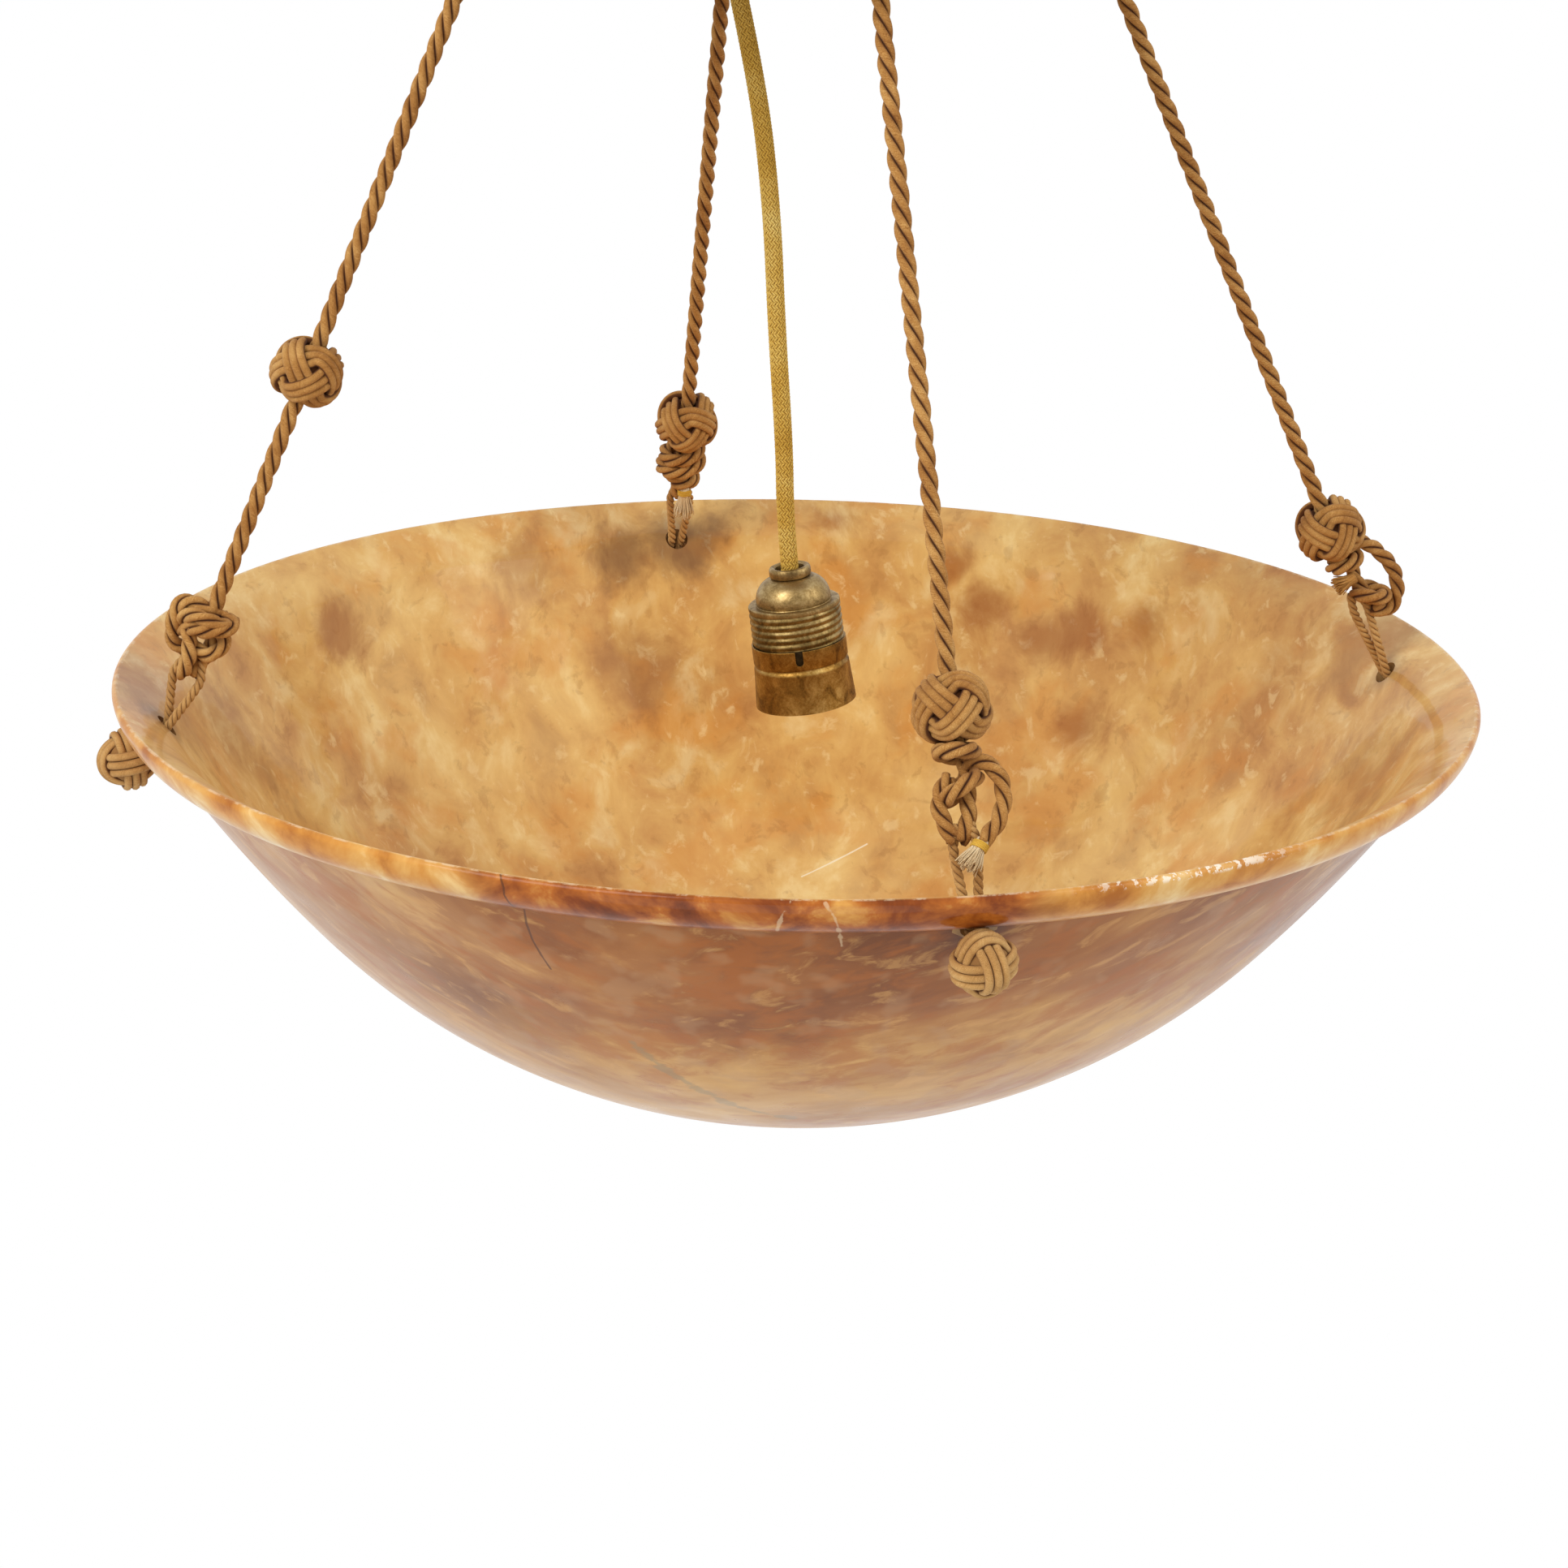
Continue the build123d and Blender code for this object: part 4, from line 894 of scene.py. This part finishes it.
def with_core(piece, centre, radius):
    """Adds the cord's wound-up heart, a plain ball, inside a woven one."""
    made = bmesh.new()
    made.from_mesh(piece.data)
    bmesh.ops.create_uvsphere(made, u_segments=32, v_segments=20, radius=radius,
                              matrix=Matrix.Translation(Vector(centre)))
    # The heart gets a low crown, so the finish lays painted shade and dirt on it where it shows between the
    # cords.
    for vertex in made.verts[len(piece.data.vertices):]:
        vertex[made.verts.layers.float["crown"]] = 0.4
    made.to_mesh(piece.data)
    made.free()
    piece.data.shade_smooth()


def fist(name, centre, size, cord, turn):
    """Three sets of side-by-side turns over a ball, each over the next set and under the last."""
    lift, passes, count = 0.0012, 3, 72
    lines, normals = [], []
    t = np.linspace(0, math.tau, count, endpoint=False)
    for far in range(3):
        for k in range(passes):
            offset = (k - (passes - 1) / 2) * cord * 0.98
            shrink = math.sqrt(1 - (offset / size) ** 2)
            place = np.zeros((count, 3))
            place[:, far] = (size + lift) * shrink * np.cos(t)
            place[:, (far + 1) % 3] = (size - lift) * shrink * np.sin(t)
            place[:, (far + 2) % 3] = offset
            place = place @ turn.T
            outward = unit(place)
            lines.append((centre + place, cord / 2, centre + place - outward * cord))
            normals.append(outward)
    return tubes(name, lines, 10, 1400.0, closed=True, normals=normals)


for name, centre in stop_centres.items():
    outward = Vector(holes[name][1])
    facing = math.atan2(outward.y, outward.x) + math.radians(12)
    turn = Matrix.Rotation(facing - math.pi / 2, 3, "Z")
    turn = turn @ Matrix.Rotation(math.radians(-8), 3, "X") @ Matrix.Rotation(math.radians(9), 3, "Y")
    ball = fist(f"{name}_stop_plait", np.array(centre), stop_radius, stop_cord, np.array(turn))
    with_core(ball, centre, stop_core)
    ball.data.materials.append(cord_finish)
    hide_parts(f"{name}_stop_knot")
    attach(ball, "bowl")
for name, (_, up, seat) in rope_ends.items():
    ball = woven_ball(f"{name}_top_plait", np.array(seat), up, (1, 0.2, 0), top_size, top_cord)
    with_core(ball, seat, top_core)
    ball.data.materials.append(rope_finish)
    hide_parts(f"{name}_top_knot")
    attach(ball, f"{name}_rope")

# ---- Flex ----
# Two-core flex in a golden braided sleeve, 7.4 mm thick, that hangs in a slight bow from the
# gland in the canopy to the lampholder's collar.
flex_diameter = 0.0074
flex_points = [
    (-0.025, 0.0, -0.046), (-0.0145, 0.0, -0.094), (-0.0088, 0.0, -0.146), (-0.0068, 0.0, -0.197),
    (-0.0036, 0.0, -0.248), (-0.0033, 0.0, -0.278), (-0.00101, 0.0, -0.30358),
]
flex_line = centreline(flex_points)
line, gone = even(flex_line, 0.00046)
_, side, across = frames_of(line)
yarns, normals = [], []
pitch, carriers, yarn_radius, weave = 0.024, 8, 0.00058, 0.00024
for hand in (-1, 1):
    for k in range(carriers):
        for end in (-1, 1):
            angle = hand * math.tau * gone / pitch + math.tau * k / carriers + end * 0.165
            out = np.cos(angle)[:, None] * side + np.sin(angle)[:, None] * across
            lift = weave * hand * np.cos(math.tau * carriers * gone / pitch)
            yarns.append((line + out * (flex_diameter / 2 - 0.00062 + lift)[:, None], yarn_radius, line))
            normals.append(out)
flex = tubes("flex_braid", yarns, 4, 2500.0, normals=normals)
# The braid's yarns get the same painted shade between them, in a paler golden brown.
flex.data.materials.append(fibrous("flex_yarn", (182, 136, 44), (226, 184, 80), (248, 224, 138), 0.0002,
                                   groove_shade_and_dirt=(158, 114, 32), depth=(0.6, -0.1)))
flex_core = tubes("flex_sheath", [(even(flex_line, 0.003)[0], 0.0031, flex_points[0])], 20)
flex_core.data.materials.append(fibrous("flex_lining", (120, 88, 26), (160, 124, 46), (190, 150, 70), **fine))
path, gone = even(flex_line, 0.004)
for piece in (flex, flex_core):
    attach(piece, "lampholder")
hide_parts("flex")

# ---- Lampholder ----
# Aged brass: a rolled collar, a spun dome with a coin-edged flange, a shell with a coarse
# external thread, and the warmer screw-on shade ring with its key slot and flared skirt.
lamp_place = Matrix.Translation((-0.0014, 0, -0.3004)) @ Matrix.Rotation(math.radians(-7), 4, "Y")


def turned_down(points):
    """(radius, distance down) in millimetres as (radius, height) in metres."""
    return [(r / 1000, -s / 1000) for r, s in points]


def aged_brass(name, dark, middle, pale):
    """Brass with dull patches and fine dark specks."""
    made, tree, surface = finish_of(name, Metallic=1.0)
    at = add(tree, "TexCoord").outputs["Object"]
    patches = noise(at, 120.0, 6.0, 0.65, 0.8)
    specks = noise(at, 1040.0, 4.0, 0.7)
    tone = plus(times(patches, 0.7), specks, 0.3)
    colour = ramp(tone, [(0.34, dark), (0.5, middle), (0.66, pale)])
    worn = spread(tone, 0.3, 0.7, 0.56, 0.34, "LINEAR")
    wire(surface, Base_Color=colour, Roughness=worn, Normal=bump(specks, 0.12, 0.0002))
    return made


grey_brass = aged_brass("grey_brass", (92, 72, 42), (152, 126, 80), (190, 166, 118))
warm_brass = aged_brass("warm_brass", (84, 54, 18), (146, 108, 50), (190, 156, 92))
dark_brass = aged_brass("thread_brass", (66, 52, 28), (124, 102, 60), (172, 148, 100))
# Painted shade: nearly black brass for the shell under the shade ring, which shows only through the key slot.
slot_shade_brass = aged_brass("painted_shade_brass", (26, 20, 12), (44, 34, 20), (66, 52, 32))

collar_outline = [(6.1, 0.9), (6.3, -0.4), (6.9, -1.0), (7.8, -1.2), (8.5, -0.9), (8.9, -0.2), (9.0, 0.6),
                  (9.0, 2.3), (8.8, 2.9), (8.4, 3.1), (7.4, 3.25), (7.4, 7.5), (6.1, 7.5)]
collar = lathe("collar_ring", turned_down(collar_outline), 96, lamp_place, closed=True)
collar.data.materials.append(grey_brass)
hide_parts("lamp_collar")

dome_outline = [(7.7, 3.2)] + [(r, -s) for r, s in arc((8.26, -3.3), (14.16, -7.04), (16.0, -14.5), 24)]
dome_outline += [(16.15, 14.75), (16.6, 14.6), (18.6, 14.5), (19.3, 14.55), (19.75, 14.9), (19.8, 15.3),
                 (19.8, 16.3), (19.6, 16.7), (19.2, 16.8), (18.24, 16.8), (18.24, 21.0), (17.44, 21.0),
                 (17.44, 16.6), (15.2, 14.6)]
dome_outline += [(r, -s) for r, s in arc((15.2, -14.6), (13.56, -7.6), (7.5, -4.1), 16)]
dome = lathe("dome", turned_down(dome_outline), 288, Matrix(), closed=True)
coin_notches, notch_depth = 96, 0.012
for vertex in dome.data.vertices:
    x, y, _ = vertex.co
    if math.hypot(x, y) > 0.01965:
        vertex.co.xy *= 1 - notch_depth * (0.5 + 0.5 * math.cos(coin_notches * math.atan2(y, x)))
dome.data.transform(lamp_place)
dome.data.materials.append(grey_brass)
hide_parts("dome_cap")

shell_outline = [(18.3, 16.8)] + [(19.5, 16.8 + 0.2 * i) for i in range(75)] + [(19.5, 42.0), (18.3, 42.0)]
shell = lathe("thread_shell", turned_down(shell_outline), 128, Matrix(), closed=True)
thread_pitch, ring_top = 0.0029, -0.0318
for vertex in shell.data.vertices:
    x, y, z = vertex.co
    if math.hypot(x, y) > 0.0194 and z > ring_top:
        turn = -z / thread_pitch + math.atan2(y, x) / math.tau
        vertex.co.xy *= 1 + 0.0225 * (0.5 + 0.5 * math.cos(math.tau * turn)) ** 0.8 - 0.006
for made in (dark_brass, slot_shade_brass):
    shell.data.materials.append(made)
# The shell's faces under the shade ring get the painted shade brass.
for face in shell.data.polygons:
    face.material_index = int(all(shell.data.vertices[v].co.z < ring_top + 0.0003 for v in face.vertices))
shell.data.transform(lamp_place)
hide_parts("threaded_shell")

ring_outline = [(19.66, 31.9), (19.8, 31.8), (20.3, 31.8), (20.41, 31.95), (20.41, 39.8), (20.2, 40.1),
                (19.85, 40.3), (19.82, 40.9)]
ring_outline += [(r, -s) for r, s in arc((19.82, -41.0), (20.3, -41.7), (20.55, -43.2), 10)]
ring_outline += [(21.62, 58.9), (21.7, 59.3), (21.4, 59.5), (21.0, 59.5), (20.9, 59.2), (19.66, 43.0)]
ring = lathe("shade_ring_turned", turned_down(ring_outline), 192, Matrix(), closed=True)
slot_width, slot_height, slot_depth, slot_end_height = 0.0033, 0.0056, 0.006, -0.03635
slot = bmesh.new()
stretch = Matrix.Diagonal((slot_width, slot_depth, slot_height, 1))
bmesh.ops.create_cube(slot, size=1.0, matrix=Matrix.Translation((0, -0.020, -0.0335)) @ stretch)
slot_end = bmesh.new()
stand = Matrix.Translation((0, -0.020, slot_end_height)) @ Matrix.Rotation(math.pi / 2, 4, "X")
bmesh.ops.create_cone(slot_end, cap_ends=True, segments=40, radius1=slot_width / 2, radius2=slot_width / 2,
                      depth=slot_depth, matrix=stand)
cut_away(ring, [placed("slot_box", slot), placed("slot_end", slot_end)], 35)
ring.data.transform(lamp_place)
ring.data.materials.append(warm_brass)
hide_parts("shade_ring")
lamp_pieces = ((collar, "lampholder"), (dome, "lampholder"), (shell, "lampholder"), (ring, "shade_ring"))
for piece, part in lamp_pieces:
    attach(piece, part)

# ---- Inside the lampholder ----
# White glazed ceramic insert with the plated screw shell and centre contact, its terminal
# screws, the moulded bush in the collar and the flex's two cores.


def plain(name, colour, deep, grain, **sockets):
    """A moulded, glazed or plated surface with faint mottling."""
    made, tree, surface = finish_of(name, **sockets)
    patches = noise(add(tree, "TexCoord").outputs["Object"], grain, 5.0, 0.6)
    colours = ramp(patches, [(0.35, deep), (0.6, colour)])
    wire(surface, Base_Color=colours, Normal=bump(patches, 0.05, 0.0002))
    return made


plated = plain("plated_brass", (206, 184, 128), (170, 144, 90), 300.0, Metallic=1.0, Roughness=0.3)
inner_finishes = {
    "insulating_bush": plain("moulding", (84, 62, 46), (58, 42, 32), 300.0, Roughness=0.5),
    "porcelain_core": plain("porcelain", (232, 228, 214), (214, 208, 192), 200.0, Roughness=0.25,
                            Coat_Weight=0.4),
    "screw_shell": plated,
    "contact_foot": plated,
    "centre_contact": plated,
    "terminal_screws": plated,
    "lamp_cores": plain("core_rubber", (122, 84, 58), (92, 62, 44), 400.0, Roughness=0.6),
}

# ---- Ceiling canopy ----
# Shallow spun brass pan held up by a cap nut on a hollow stem from a plated steel strap, with
# four bell-mouthed rope eyelets and a cord grip. It is outside the picture.
steel = plain("zinc_plate", (188, 190, 190), (150, 152, 154), 160.0, Metallic=1.0, Roughness=0.38)
ceiling_finishes = {
    "canopy": aged_brass("canopy_brass", (132, 108, 68), (154, 129, 84), (176, 151, 104)),
    "rope_eyelets": warm_brass, "canopy_finial": warm_brass, "cord_grip": warm_brass,
    "cord_grip_nut": warm_brass, "ceiling_bracket": steel, "canopy_nipple": steel, "canopy_locknut": steel,
    "canopy_spacer": steel, "terminal_block": inner_finishes["insulating_bush"],
    "terminal_block_screws": plated, "supply_cores": inner_finishes["lamp_cores"],
}
for name, made in {**inner_finishes, **ceiling_finishes}.items():
    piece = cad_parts[name]
    piece.data.materials.clear()
    piece.data.materials.append(made)
